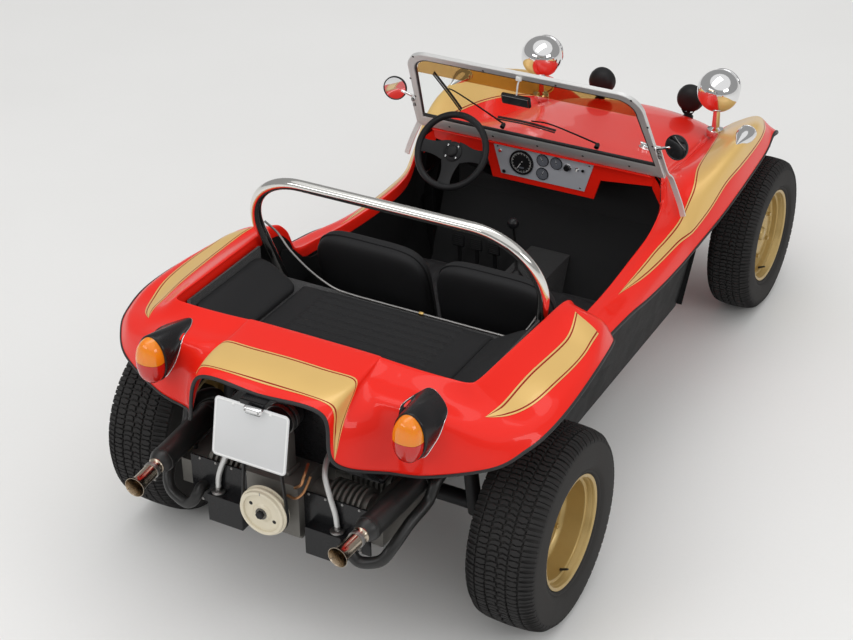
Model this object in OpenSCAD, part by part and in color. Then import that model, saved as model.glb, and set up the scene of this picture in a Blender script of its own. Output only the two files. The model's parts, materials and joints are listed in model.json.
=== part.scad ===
/* [Chassis] */
// Distance between the front and rear axles
wheelbase = 2400; // [2200:10:2600]
// Length of the nose ahead of the front axle
front_overhang = 500; // [420:10:600]
// Length of the tail behind the rear axle, to the exhaust tips
rear_overhang = 770; // [710:10:870]
// Distance between the centres of the front tyres
front_track = 1275; // [1220:5:1340]
// Distance between the centres of the rear tyres
rear_track = 1463; // [1420:5:1540]
// Height of the floor's underside over the ground
floor_z = 300; // [240:5:340]
// Thickness of the floor sheet and of the tub's walls
wall_t = 8; // [4:1:14]

/* [Body] */
// Width of the body over the edges of the rear wings
body_w = 1680; // [1600:10:1760]
// Height of the rear deck's rim over the ground
deck_h = 1005; // [960:5:1060]
// Thickness of the moulded body shell
shell_t = 5; // [4:0.5:7]

/* [Wheels] */
// Outer diameter of a front tyre
front_tyre_d = 686; // [640:2:700]
// Width of a front tyre
front_tyre_w = 197; // [180:1:205]
// Outer diameter of a rear tyre
rear_tyre_d = 726; // [680:2:750]
// Width of a rear tyre
rear_tyre_w = 255; // [230:1:265]
// Diameter over the lips of the rims
rim_d = 415; // [380:1:430]
// Circle of the five wheel bolts
bolt_circle = 205; // [180:1:220]

/* [Screen and bars] */
// Height of the windscreen frame along its slope
screen_h = 462; // [400:2:500]
// Lean of the windscreen from upright, in degrees
screen_rake = 27; // [22:1:34]
// Diameter of the roll bar's tube
bar_d = 42; // [34:1:50]
// Height of the roll bar's top tube over the ground
bar_h = 1301; // [1220:5:1360]
// Diameter of the folded top bow's rod
bow_d = 10; // [7:0.5:14]

/* [Cockpit] */
// Diameter of the steering wheel
steer_d = 326; // [300:2:360]
// Width of one seat
seat_w = 470; // [420:5:500]
// Width of the instrument panel
panel_w = 450; // [400:5:500]
// Height of the instrument panel
panel_h = 130; // [100:1:140]

/* [Lamps and plate] */
// Diameter of a headlamp's ball shell
headlamp_d = 186; // [160:1:200]
// Diameter of an auxiliary lamp
aux_d = 125; // [100:1:150]
// Width of the number plate
plate_w = 280; // [240:5:320]
// Height of the number plate
plate_h = 205; // [180:5:230]

/* [Engine] */
// Diameter of the crank pulley
pulley_d = 168; // [150:1:180]
// Diameter of a muffler
muffler_d = 84; // [70:1:96]
// Diameter of an exhaust tip
tip_d = 52; // [44:1:60]

/* [Hidden] */
$fn = 48;
// Seat gap between pieces that rest on one another
gap = 0.3;
// Axles in the frame whose origin is under the middle of the length
length = front_overhang + wheelbase + rear_overhang;
rear_y = length / 2 - rear_overhang;
front_y = rear_y - wheelbase;
rear_z = rear_tyre_d / 2;
front_z = front_tyre_d / 2;
// Design sizes that the body's table is written for
base_wheelbase = 2400;
base_front = 500;
base_rear = 770;
base_w = 1680;
base_h = 1005;

// Body places: width, distance behind the rear axle, height
function X(x) = x * body_w / base_w;
function Y(v) = v > 0 ? rear_y + v * rear_overhang / base_rear
  : v > -base_wheelbase ? rear_y + v * wheelbase / base_wheelbase
  : front_y + (v + base_wheelbase) * front_overhang / base_front;
function Z(z) = z * deck_h / base_h;
function P(p) = [X(p[0]), Y(p[1]), Z(p[2])];

// Body sections, from the nose round to the middle of the tail.
// Columns: bonnet centre v, z; rim or valley x, v, z; wing crest x, v, z; wing edge x, v, z
SECTIONS = [
  [-2899, 440, 250, -2830, 470, 470, -2740, 595, 590, -2680, 640],
  [-2890, 520, 270, -2810, 540, 480, -2745, 675, 605, -2630, 695],
  [-2830, 620, 310, -2740, 625, 515, -2690, 755, 655, -2560, 765],
  [-2700, 705, 350, -2620, 690, 550, -2590, 810, 675, -2480, 810],
  [-2520, 780, 390, -2480, 740, 585, -2465, 860, 690, -2390, 830],
  [-2250, 850, 425, -2250, 790, 655, -2185, 948, 707, -2245, 807],
  [-1950, 920, 455, -1950, 840, 662, -1890, 946, 716, -1945, 780],
  [-1720, 975, 490, -1720, 900, 645, -1700, 895, 700, -1755, 730],
  [-1510, 1020, 535, -1510, 960, 610, -1555, 827, 672, -1595, 677],
  [0, 0, 548, -1450, 880, 595, -1490, 787, 663, -1520, 660],
  [0, 0, 541, -1340, 800, 588, -1405, 765, 664, -1425, 660],
  [0, 0, 545, -1140, 782, 590, -1210, 755, 668, -1235, 673],
  [0, 0, 560, -900, 785, 598, -990, 760, 676, -1025, 703],
  [0, 0, 575, -700, 805, 610, -800, 775, 688, -835, 746],
  [0, 0, 582, -560, 830, 632, -565, 812, 702, -590, 782],
  [0, 0, 588, -505, 930, 640, -510, 890, 738, -520, 825],
  [0, 0, 592, -420, 985, 660, -410, 978, 781, -440, 862],
  [0, 0, 590, -200, 996, 727, -230, 950, 823, -210, 899],
  [0, 0, 583, 50, 1003, 732, 5, 947, 840, 30, 900],
  [0, 0, 578, 190, 1007, 720, 145, 933, 826, 180, 878],
  [0, 0, 560, 228, 1010, 690, 255, 935, 792, 270, 852],
  [0, 0, 500, 236, 1012, 630, 335, 935, 715, 350, 806],
  [0, 0, 420, 240, 1016, 500, 395, 975, 530, 425, 760],
  [0, 0, 340, 242, 1020, 355, 415, 985, 400, 440, 738],
  [0, 0, 262, 244, 1026, 272, 405, 996, 278, 586, 828],
  [0, 0, 225, 245, 1030, 234, 480, 1026, 232, 580, 996],
  [0, 0, 0, 246, 1032, 0, 480, 1032, 0, 584, 1000]];
// The section at the cowl's rear edge, where the cockpit begins
cowl_row = 8;
last_row = len(SECTIONS) - 1;
// Columns of control points: bonnet ones, then those of the rim, wing and edge
bonnet_cols = 4;
half_cols = 10;
// Depth of the flange that turns down into the cockpit
flange = 42;
row_steps = 2;
col_steps = 2;

function mix3(a, b, t) = a + (b - a) * t;
function unit2(v) = v / max(1e-6, norm(v));
// Control point of section s and column c, in body places
function rim_of(q) = [q[2], q[3], q[4]];
function crest_of(q) = [q[5], q[6], q[7]];
function edge_of(q) = [q[8], q[9], q[10]];
function inward(q) = unit2([q[2] - q[5], q[3] - q[6]]);
function flange_share(s) = s <= cowl_row ? 0 : s == cowl_row + 1 ? 0.6 : 1;
function ctrl(s, c) = let (q = SECTIONS[s], r = rim_of(q), k = crest_of(q), e = edge_of(q))
  c < bonnet_cols ? let (w = [0, 0.42, 0.74, 0.92][c], m = [0, q[0], q[1]])
    [r[0] * w, m[1] + (r[1] - m[1]) * pow(w, 2), r[2] + (m[2] - r[2]) * pow(1 - pow(w, 2.4), 0.8)]
  : c == bonnet_cols ? let (d = inward(q), f = flange_share(s))
    [r[0] + d[0] * (16 - 12 * f), r[1] + d[1] * (16 - 12 * f), r[2] - f * flange]
  : c == bonnet_cols + 1 ? let (d = inward(q), f = flange_share(s))
    [r[0] + d[0] * (6 - 6 * f), r[1] + d[1] * (6 - 6 * f), r[2] - f * 9]
  : c == bonnet_cols + 2 ? let (d = inward(q), f = flange_share(s))
    [r[0] - d[0] * 10, r[1] - d[1] * 10, r[2] + f * 2]
  : c == bonnet_cols + 3 ? let (m = mix3(r, k, 0.5)) [m[0], m[1], r[2] + (k[2] - r[2]) * 0.56]
  : c == bonnet_cols + 4 ? k
  : c == bonnet_cols + 5 ? [k[0] + (e[0] - k[0]) * 0.66, k[1] + (e[1] - k[1]) * 0.66,
      e[2] + (k[2] - e[2]) * 0.62]
  : e;
// Catmull-Rom blend of four numbers or points
function cr(a, b, c, d, t) = b
  + 0.5 * t * (c - a + t * (2 * a - 5 * b + 4 * c - d + t * (3 * (b - c) + d - a)));
function row_hi(c) = c < bonnet_cols ? cowl_row : last_row;
function flip(p) = [-p[0], p[1], p[2]];
// A control point with the rows continued past the ends, mirrored past the tail
function ctrl_x(s, c) = s < 0 ? 2 * ctrl(0, c) - ctrl(1, c)
  : s > row_hi(c) ? (c < bonnet_cols ? 2 * ctrl(row_hi(c), c) - ctrl(row_hi(c) - 1, c)
    : flip(ctrl(2 * last_row - s, c))) : ctrl(s, c);
function along(i, c) = let (s = min(floor(i / row_steps), row_hi(c) - 1), t = i / row_steps - s)
  cr(ctrl_x(s - 1, c), ctrl_x(s, c), ctrl_x(s + 1, c), ctrl_x(s + 2, c), t);
function along_x(i, c, lo) = c < lo ? (lo == 0 ? flip(along(i, 1)) : 2 * along(i, lo) - along(i, lo + 1))
  : c > half_cols ? 2 * along(i, half_cols) - along(i, half_cols - 1) : along(i, c);
function col_lo(i) = i <= cowl_row * row_steps ? 0 : bonnet_cols;
// Point of the outer skin at fine row i and fine column j of the left half
function skin(i, j) = let (lo = col_lo(i), c = min(floor(j / col_steps), half_cols - 1),
    t = j / col_steps - c)
  cr(along_x(i, c - 1, lo), along_x(i, c, lo), along_x(i, c + 1, lo), along_x(i, c + 2, lo), t);
rows = last_row * row_steps;
cols = half_cols * col_steps;
cowl_i = cowl_row * row_steps;
inner_j = bonnet_cols * col_steps;

GRID = [for (i = [0 : rows]) [for (j = [0 : cols]) j < inner_j && i > cowl_i ? undef : P(skin(i, j))]];
function grid(i, j) = j < 0 ? flip(grid(i, -j)) : i > rows ? flip(GRID[2 * rows - i][j]) : GRID[i][j];
function live(i, j) = i >= 0 && i <= rows && abs(j) <= cols && (i <= cowl_i || abs(j) >= inner_j);
function tangent_i(i, j) = let (a = live(i - 1, j) ? grid(i - 1, j) : grid(i, j),
    b = i == rows ? flip(grid(rows - 1, j)) : live(i + 1, j) ? grid(i + 1, j) : grid(i, j)) b - a;
function tangent_j(i, j) = let (a = live(i, j - 1) ? grid(i, j - 1) : grid(i, j),
    b = live(i, j + 1) ? grid(i, j + 1) : grid(i, j)) b - a;
function normal(i, j) = let (n = cross(tangent_j(i, j), tangent_i(i, j))) n / max(1e-6, norm(n));

// Points used by the shell, numbered row by row; the last row is shared by both halves
function count_row(i) = i <= cowl_i ? 2 * cols + 1 : i < rows ? 2 * (cols - inner_j + 1) : cols - inner_j + 1;
STARTS = [for (i = 0, a = 0; i <= rows; a = a + count_row(i), i = i + 1) a];
TOTAL = STARTS[rows] + count_row(rows);
function index(i, j) = i <= cowl_i ? STARTS[i] + j + cols
  : i < rows ? STARTS[i] + (j < 0 ? j + cols : j + cols - 2 * inner_j + 1) : STARTS[rows] + abs(j) - inner_j;
SHELL_POINTS = [for (i = [0 : rows]) for (j = [-cols : cols])
  if (live(i, j) && (i < rows || j >= 0)) grid(i, j)];
SHELL_NORMALS = [for (i = [0 : rows]) for (j = [-cols : cols])
  if (live(i, j) && (i < rows || j >= 0)) normal(i, j)];
function cell(i, j) = i >= 0 && i < rows && j >= -cols && j < cols && live(i, j) && live(i, j + 1)
  && live(i + 1, j) && live(i + 1, j + 1) && (i < cowl_i || j >= inner_j || j < -inner_j);
function wall(a, b) = [[a, b + TOTAL, b], [a, a + TOTAL, b + TOTAL]];
// Outer and inner faces of a cell, split from its first corner
function quad(a, b, c, d) = [[a, c, b], [a, d, c],
  [a + TOTAL, b + TOTAL, c + TOTAL], [a + TOTAL, c + TOTAL, d + TOTAL]];
SHELL_FACES = [for (i = [0 : rows - 1]) for (j = [-cols : cols - 1]) if (cell(i, j))
  let (a = index(i, j), b = index(i, j + 1), c = index(i + 1, j + 1), d = index(i + 1, j))
  each concat(j < 0 ? quad(b, c, d, a) : quad(a, b, c, d),
    cell(i, j - 1) ? [] : wall(a, d),
    cell(i, j + 1) ? [] : wall(c, b),
    cell(i - 1, j) ? [] : wall(b, a),
    cell(i + 1, j) || i == rows - 1 ? [] : wall(d, c))];

// Cutter for pieces that sit on the skin: rows i0 to i1 and columns j0 to j1 of the left half
module skin_patch(i0, i1, j0, j1, depth) {
  n = j1 - j0 + 1;
  m = i1 - i0 + 1;
  top = [for (i = [i0 : i1]) for (j = [j0 : j1]) grid(i, j) + gap * normal(i, j)];
  low = [for (i = [i0 : i1]) for (j = [j0 : j1]) grid(i, j) - depth * normal(i, j)];
  function at(i, j) = i * n + j;
  function side(a, b) = [[a, b + m * n, b], [a, a + m * n, b + m * n]];
  polyhedron(points = concat(top, low), faces = concat(
    [for (i = [0 : m - 2]) for (j = [0 : n - 2])
      let (a = at(i, j), b = at(i, j + 1), c = at(i + 1, j + 1), d = at(i + 1, j), k = m * n)
      each [[a, c, b], [a, d, c], [a + k, b + k, c + k], [a + k, c + k, d + k]]],
    [for (i = [0 : m - 2]) each concat(side(at(i, 0), at(i + 1, 0)), side(at(i + 1, n - 1), at(i, n - 1)))],
    [for (j = [0 : n - 2]) each concat(side(at(0, j + 1), at(0, j)), side(at(m - 1, j), at(m - 1, j + 1)))]));
}

module body_shell() {
  color("red")
  polyhedron(points = concat(SHELL_POINTS, SHELL_POINTS - shell_t * SHELL_NORMALS), faces = SHELL_FACES);
}

// A round rod between two points
module rod(a, b, r) {
  d = b - a;
  translate(a)
  rotate([0, acos(d[2] / norm(d)), atan2(d[1], d[0])])
  cylinder(h = norm(d), r = r);
}

// A bent tube of n sides along a path; up is a direction that the path never takes
function unit(v) = v / max(1e-9, norm(v));
module sweep(path, r, n = 12, up = [0, 1, 0]) {
  last = len(path) - 1;
  dirs = [for (i = [0 : last]) unit(path[min(i + 1, last)] - path[max(i - 1, 0)])];
  rings = [for (i = [0 : last])
    let (a = unit(cross(dirs[i], up)), b = cross(dirs[i], a))
    for (k = [0 : n - 1]) path[i] + r * (cos(360 * k / n) * a + sin(360 * k / n) * b)];
  polyhedron(points = rings, faces = concat(
    [[for (k = [0 : n - 1]) k]],
    [for (i = [0 : last - 1]) for (k = [0 : n - 1]) let (a = i * n + k, b = i * n + (k + 1) % n)
      each [[a, b + n, b], [a, a + n, b + n]]],
    [[for (k = [0 : n - 1]) last * n + n - 1 - k]]));
}

// Points of a smooth curve through a short list of points
function smooth(p, steps) = let (m = len(p) - 1) concat(
  [for (i = [0 : m - 1]) for (k = [0 : steps - 1])
    cr(p[max(i - 1, 0)], p[i], p[i + 1], p[min(i + 2, m)], k / steps)], [p[m]]);

// A box given by its low and high corners
module block(lo, hi) {
  translate(lo)
  cube(hi - lo);
}

// A prism along X from an outline in Y and Z
module prism_x(x0, x1, outline) {
  translate([x0, 0, 0])
  rotate([90, 0, 90])
  linear_extrude(height = x1 - x0)
  polygon(outline);
}

// A prism along Y from an outline in X and Z
module prism_y(y0, y1, outline) {
  translate([0, y1, 0])
  rotate([90, 0, 0])
  linear_extrude(height = y1 - y0)
  polygon(outline);
}

// Both sides of a shape that is drawn on the left
module both() {
  children();
  mirror([1, 0, 0])
  children();
}

floor_w = 545;
tunnel_w = 180;
tunnel_h = 150;
// The bulkhead steps back over the torsion tube to the front edge of the deck
bulkhead_v = -330;
step_v = -500;
step_z = 540;
toe_v = -1560;
toe_top_v = -1700;
deck_z = 837;
torsion_v = -400;
torsion_r = 45;
beam_ahead = 160;
beam_r = 30;
tunnel_top = floor_z + wall_t + tunnel_h;

module floor_pan() {
  color("dimgray")
  union() {
    block([-X(floor_w), Y(toe_v), floor_z], [X(floor_w), Y(step_v) - gap, floor_z + wall_t]);
    block([-tunnel_w / 2, front_y - beam_ahead + beam_r + 40, floor_z - 12],
      [tunnel_w / 2, Y(torsion_v) - torsion_r - gap, tunnel_top]);
  }
}

// Tub side: the height and lean of its outer panel, and the inward fold under the cockpit's rim
side_top = 690;
side_lean = 75;
side_fold = [60, 40];

// Lining over the fold, in v and z, up to the body's flange
LINING = [[-1500, 700], [-1500, 780], [-1440, 770], [-1400, 757], [-1340, 742], [-1140, 726], [-900, 729],
  [-720, 750], [-620, 768], [-560, 800], [-500, 860], [-430, 890], [-400, 825], [-345, 815], [-345, 700]];

module tub_sides() {
  x0 = X(floor_w);
  x1 = X(floor_w + side_lean);
  x2 = X(floor_w + side_lean - side_fold[0]);
  z1 = Z(side_top);
  z2 = Z(side_top + side_fold[1]);
  color([0.07, 0.07, 0.07])
  both()
  union() {
    prism_y(Y(-1690), Y(bulkhead_v) - gap, [[x0 + gap, floor_z], [x0 + wall_t, floor_z], [x1 + wall_t, z1],
      [x2, z2], [x2, z2 - wall_t * 1.2], [x1, z1 - wall_t * 0.4]]);
    prism_x(x2 + 0.5, x2 + wall_t * 0.8, [for (p = LINING) [Y(p[0]), Z(p[1])]]);
  }
}

module toe_board() {
  color([0.1, 0.1, 0.1])
  difference() {
    prism_x(-X(floor_w), X(floor_w), [[Y(toe_v) - gap, floor_z], [Y(toe_v) - gap, floor_z + wall_t],
      [Y(toe_top_v), Z(640)], [Y(toe_top_v), Z(850)], [Y(toe_top_v) - wall_t, Z(850)],
      [Y(toe_top_v) - wall_t, Z(640)], [Y(toe_v) - gap - wall_t, floor_z]]);
    block([-tunnel_w / 2 - gap, Y(-1800), floor_z - 20],
      [tunnel_w / 2 + gap, Y(toe_v) + 1, tunnel_top + gap]);
  }
}

module rear_bulkhead() {
  color([0.08, 0.08, 0.08])
  difference() {
    prism_x(-X(floor_w), X(floor_w), [[Y(step_v), floor_z], [Y(step_v) + wall_t, floor_z],
      [Y(step_v) + wall_t, Z(step_z)], [Y(bulkhead_v) + wall_t, Z(step_z)],
      [Y(bulkhead_v) + wall_t, Z(deck_z) - gap], [Y(bulkhead_v), Z(deck_z) - gap],
      [Y(bulkhead_v), Z(step_z) + wall_t], [Y(step_v), Z(step_z) + wall_t]]);
    block([-tunnel_w / 2 - gap, Y(step_v) - 1, floor_z - 20],
      [tunnel_w / 2 + gap, Y(step_v) + wall_t + 1, tunnel_top + gap]);
  }
}

deck_rear_v = 226;
deck_wall_top = 975;
deck_half = 571;
deck_corner = [46, 61];
// The deck's side walls start behind the roll bar's legs
deck_wall_v = -285;

// Plan of the deck, set in by d, from a front edge at v
function deck_plan(v, d) = let (w = X(deck_half) - d, e = Y(deck_rear_v) - d, c = deck_corner)
  [[-w, Y(v)], [w, Y(v)], [w, e - c[1]], [w - c[0], e], [c[0] - w, e], [-w, e - c[1]]];

module rear_deck() {
  color([0.08, 0.08, 0.08])
  union() {
    translate([0, 0, Z(deck_z)])
    linear_extrude(height = wall_t)
    polygon(deck_plan(bulkhead_v, 0));
    translate([0, 0, Z(deck_z)])
    linear_extrude(height = Z(deck_wall_top) - Z(deck_z))
    difference() {
      polygon(deck_plan(deck_wall_v, 0));
      polygon(deck_plan(deck_wall_v - 10, wall_t));
    }
  }
}

pad_t = 16;

module deck_pad() {
  color([0.06, 0.06, 0.06])
  block([-X(390), Y(bulkhead_v) + 30, Z(deck_z) + wall_t + gap],
    [X(390), Y(deck_rear_v) - wall_t - 2, Z(deck_z) + wall_t + pad_t]);
}

module side_pads() {
  color([0.06, 0.06, 0.06])
  both()
  prism_y(Y(deck_wall_v) + 5, Y(deck_rear_v) - deck_corner[1] - wall_t, [[X(395), Z(deck_z) + wall_t + gap],
    [X(deck_half) - wall_t - gap, Z(deck_z) + wall_t + gap], [X(deck_half) - wall_t - gap, Z(945)],
    [X(540), Z(945)], [X(395), Z(deck_z) + wall_t + pad_t + 4]]);
}

dash_v = -1507.6;
dash_t = 12;
dash_top = 985;
dash_low = 815;
// Steering wheel: its place across, behind the dash and over the ground, and its axis over the horizontal
steer_x = 306;
steer_reach = 207.6;
steer_z = 992;
steer_centre = [X(steer_x), Y(dash_v) + steer_reach, Z(steer_z)];
steer_tilt = 34;
steer_axis = [0, cos(steer_tilt), sin(steer_tilt)];
column_r = 18;

// Ledge along the dash's top edge, which carries the windscreen
ledge_t = 8;
ledge_d = 38;

module dash() {
  z = Z(dash_top) - 1;
  color("red")
  difference() {
    union() {
      prism_y(Y(dash_v), Y(dash_v) + dash_t, [[-X(488), z], [-X(494), Z(900)], [-X(460), Z(dash_low)],
        [X(460), Z(dash_low)], [X(494), Z(900)], [X(488), z]]);
      block([-X(487), Y(dash_v) + 1, Z(dash_top) - ledge_t], [X(487), Y(dash_v) + ledge_d, Z(dash_top)]);
    }
    rod(steer_centre - steer_axis * 500, steer_centre + steer_axis * 100, column_r + 2);
  }
}

panel_x = -12;
panel_z = 907;
// The panel's ends lean in towards its lower edge
panel_lean = 38;
panel_t = 4;
panel_y = Y(dash_v) + dash_t + gap;

module instrument_panel() {
  x = X(panel_x);
  w = panel_w / 2;
  low = Z(panel_z) - panel_h / 2;
  top = Z(panel_z) + panel_h / 2;
  color("silver")
  prism_y(panel_y, panel_y + panel_t,
    [[x - w + panel_lean, low], [x + w - panel_lean, low], [x + w, top], [x - w, top]]);
}

// Dials and knobs: share of the panel's width from its middle, height share, radius, depth
DIALS = [[0.21, 0.02, 54, 7], [0, 0.25, 27, 6], [-0.135, 0.25, 27, 6], [0, -0.21, 27, 6],
  [-0.247, 0.2, 14, 16], [-0.34, 0.21, 9, 12], [-0.4, 0.21, 6, 10], [0.43, 0.27, 9, 8], [0.38, -0.39, 8, 12]];

module gauges() {
  color([0.05, 0.05, 0.05])
  for (d = DIALS)
    translate([X(panel_x) + d[0] * panel_w, panel_y + panel_t + gap + d[3], Z(panel_z) + d[1] * panel_h])
    rotate([90, 0, 0])
    cylinder(h = d[3], r = d[2]);
}

// Windscreen: local frame with x across, y up the slope and z forward out of its face
screen_low_w = 1090;
screen_top_w = 1016;
screen_r = 100;
screen_rail = 30;
screen_low_rail = 64;
screen_t = 18;
glass_t = 6;
glass_z = -(screen_t + glass_t) / 2;
// Outer edge of the frame's legs at their top
leg_x = screen_low_w / 2 - 4;

module on_screen() {
  translate([0, Y(-1490), Z(dash_top) + gap + screen_t * sin(screen_rake)])
  rotate([90 - screen_rake, 0, 0])
  children();
}

// Outline with square feet and round top corners, set in by d, and by low at its foot
function screen_outline(d, low) = let (w0 = screen_low_w / 2 - d, w1 = screen_top_w / 2 - d, h = screen_h - d,
    r = screen_r - d * 0.7)
  concat([[-w0, low], [w0, low]], [for (a = [0 : 9 : 90]) [w1 - r + r * cos(a), h - r + r * sin(a)]],
    [for (a = [90 : 9 : 180]) [-w1 + r + r * cos(a), h - r + r * sin(a)]]);
// Half width of the frame at a height up its slope
function screen_side(h) = screen_low_w / 2 - (screen_low_w - screen_top_w) / 2 * h / (screen_h - screen_r);

module windscreen_frame() {
  color("silver")
  union() {
    on_screen()
    translate([0, 0, -screen_t])
    linear_extrude(height = screen_t)
    difference() {
      polygon(screen_outline(0, 0));
      polygon(screen_outline(screen_rail, screen_low_rail));
    }
    both()
    difference() {
      union() {
        prism_y(Y(-1500), Y(-1470), [[leg_x - 20, Z(dash_top) + 4], [leg_x, Z(dash_top) + 4],
          [leg_x, Z(dash_top) + 32], [leg_x - 20, Z(dash_top) + 32]]);
        prism_y(Y(-1500), Y(-1490), [[leg_x - 20, Z(dash_top) + 30], [leg_x, Z(dash_top) + 30],
          [leg_x + 98, Z(822)], [leg_x + 78, Z(822)]]);
        rod([leg_x + 82, Y(-1495), Z(842)], [leg_x + 82, Y(-1495), Z(765)], 7);
      }
      skin_patch(7 * row_steps, 10 * row_steps, bonnet_cols * col_steps, cols, 70);
    }
  }
}

module windscreen_glass() {
  color([0.6, 0.7, 0.7, 0.4])
  on_screen()
  translate([0, 0, glass_z])
  linear_extrude(height = glass_t)
  polygon(screen_outline(screen_rail + gap, screen_low_rail + gap));
}

module interior_mirror() {
  color([0.05, 0.05, 0.05])
  on_screen()
  translate([0, screen_h, -screen_t - gap]) {
    block([-14, -26, -14], [14, -4, 0]);
    block([-9, -60, -20], [9, -10, -10]);
    block([-90, -100, -34], [90, -45, -16]);
  }
}

side_mirror_d = 100;
side_mirror_h = 185;

module side_mirrors() {
  color("silver")
  both()
  on_screen() {
    translate([screen_side(side_mirror_h) + 34 + side_mirror_d / 2, side_mirror_h, -screen_t - 8])
    cylinder(h = 36, r = side_mirror_d / 2);
    rod([screen_side(side_mirror_h) + gap + 1, side_mirror_h, -screen_t / 2],
      [screen_side(side_mirror_h) + 50, side_mirror_h, -screen_t / 2], 8);
  }
}

wiper_r = 4;

module wipers() {
  color([0.05, 0.05, 0.05])
  for (x = [-230, 170])
    on_screen()
    translate([0, 0, glass_z + glass_t + gap + wiper_r]) {
      rod([x, screen_low_rail + 6, 0], [x + 60, 190, 0], wiper_r);
      rod([x - 60, 110, 0], [x + 170, 250, 0], wiper_r);
    }
}

// Places on the skin, by section number and column number
function seat(s, c) = P(skin(s * row_steps, c * col_steps));
lamp_seat = seat(4.35, bonnet_cols + 2.5);
lamp_at = [X(424), Y(-2400), Z(980)];

module headlamps() {
  color("silver")
  both()
  difference() {
    union() {
      translate(lamp_at)
      sphere(r = headlamp_d / 2);
      rod([lamp_at[0], lamp_at[1], lamp_seat[2] - 30], lamp_at, 15);
      rod([lamp_at[0], lamp_at[1], lamp_seat[2] - 30], [lamp_at[0], lamp_at[1], lamp_seat[2] + 14], 34);
    }
    skin_patch(3 * row_steps, 6 * row_steps, bonnet_cols * col_steps, (bonnet_cols + 5) * col_steps, 90);
    translate(lamp_at - [headlamp_d, headlamp_d * 1.36, headlamp_d])
    cube(headlamp_d * [2, 1, 2]);
  }
}

aux_seat = seat(3.4, 1.5);

module aux_lamps() {
  color([0.05, 0.05, 0.05])
  both()
  difference() {
    translate(aux_seat) {
      rod([0, 0, -20], [0, 0, aux_d / 2 + 20], 8);
      rod([0, 0, -20], [0, 0, 9], 22);
      translate([0, 30, aux_d / 2 + 22])
      rotate([90, 0, 0])
      cylinder(h = 66, r = aux_d / 2);
    }
    skin_patch(2 * row_steps, 5 * row_steps, 0, 3 * col_steps, 60);
  }
}

indicator_seat = seat(5.45, bonnet_cols + 4);

module front_indicators() {
  color("silver")
  both()
  difference() {
    translate(indicator_seat)
    hull() {
      translate([0, -50, -30])
      cylinder(h = 66, r1 = 40, r2 = 14, $fn = 32);
      translate([0, 70, -30])
      cylinder(h = 38, r1 = 8, r2 = 3, $fn = 16);
    }
    skin_patch(4 * row_steps, 7 * row_steps, (bonnet_cols + 2) * col_steps, cols, 70);
  }
}

// Tail lamps: a pod that runs back out of the wing, and the domed lens on its rear face
pod_v = 340;
lens_v = 476;
pod_rim = 10;

// An oval slice across Y of half width w and half height h, k times smaller at its rear face
module oval(p, w, h, t, k = 1) {
  translate(p)
  rotate([-90, 0, 0])
  scale([1, h / w, 1])
  cylinder(h = t, r1 = w, r2 = w * k, $fn = 36);
}

module tail_lamp_pods() {
  color([0.05, 0.05, 0.05])
  both()
  difference() {
    hull() {
      oval([X(495), Y(pod_v), Z(970)], 68, 56, 5);
      oval([X(495), Y(lens_v), Z(935)], 63, 88, pod_rim, 0.95);
    }
    skin_patch(20 * row_steps, 23 * row_steps + 1, (bonnet_cols + 1) * col_steps, cols, 90);
  }
}

module tail_lamp_lenses() {
  at = [X(495), Y(lens_v) + pod_rim + gap, Z(935)];
  color("orangered")
  both()
  hull() {
    oval(at, 52, 78, 14);
    oval(at, 40, 62, 48, 0.8);
  }
}

plate_at = [0, 640, 879];
plate_tilt = 12;
plate_t = 3;
// Underside of the tail's lip over the engine
lip_z = 995.2;

// Rear face of the plate at a height
function plate_back(z) = Y(plate_at[1]) + plate_t / cos(plate_tilt) - (z - Z(plate_at[2])) * tan(plate_tilt);

module number_plate() {
  color("gainsboro")
  union() {
    translate(P(plate_at))
    rotate([plate_tilt, 0, 0])
    block([-plate_w / 2, 0, -plate_h / 2], [plate_w / 2, plate_t, plate_h / 2]);
    top = P(plate_at) + plate_h / 2 * [0, -sin(plate_tilt), cos(plate_tilt)];
    block([-45, Y(560), Z(lip_z) - 4], [45, top[1] + 4, Z(lip_z)]);
    block([-45, top[1] - 1, top[2] - 20], [45, top[1] + 4, Z(lip_z)]);
  }
}

// Number plate lamp: its middle, width, height and depth
lamp_x = -15;
lamp_w = 70;
lamp_h = 22;
lamp_d = 24;

module plate_lamp() {
  z = Z(lip_z) - 6 - lamp_h;
  color("silver")
  block([lamp_x - lamp_w / 2, plate_back(z) + gap, z],
    [lamp_x + lamp_w / 2, plate_back(z) + lamp_d, z + lamp_h]);
}

bar_v = -225;
bar_half = 575;
bar_bend = 238;
bar_lean = 17;
bar_in_angle = 10;
bar_foot_z = 790;
// A leg from the middle of the top tube: its start under the bend and its end at the foot
bar_leg_x = X(bar_half) - bar_bend + bar_bend * cos(bar_in_angle);
bar_leg_z = bar_bend + bar_bend * sin(bar_in_angle);
bar_foot_d = (bar_h - Z(bar_foot_z)) / cos(bar_lean);
bar_foot_x = bar_leg_x - (bar_foot_d - bar_leg_z) * tan(bar_in_angle);
bar_foot_y = Y(bar_v) - bar_foot_d * sin(bar_lean);
// The bends are drawn a little thinner, and the straight tubes run on over their ends
bend_less = 0.1;
bend_over = 2;

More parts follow.
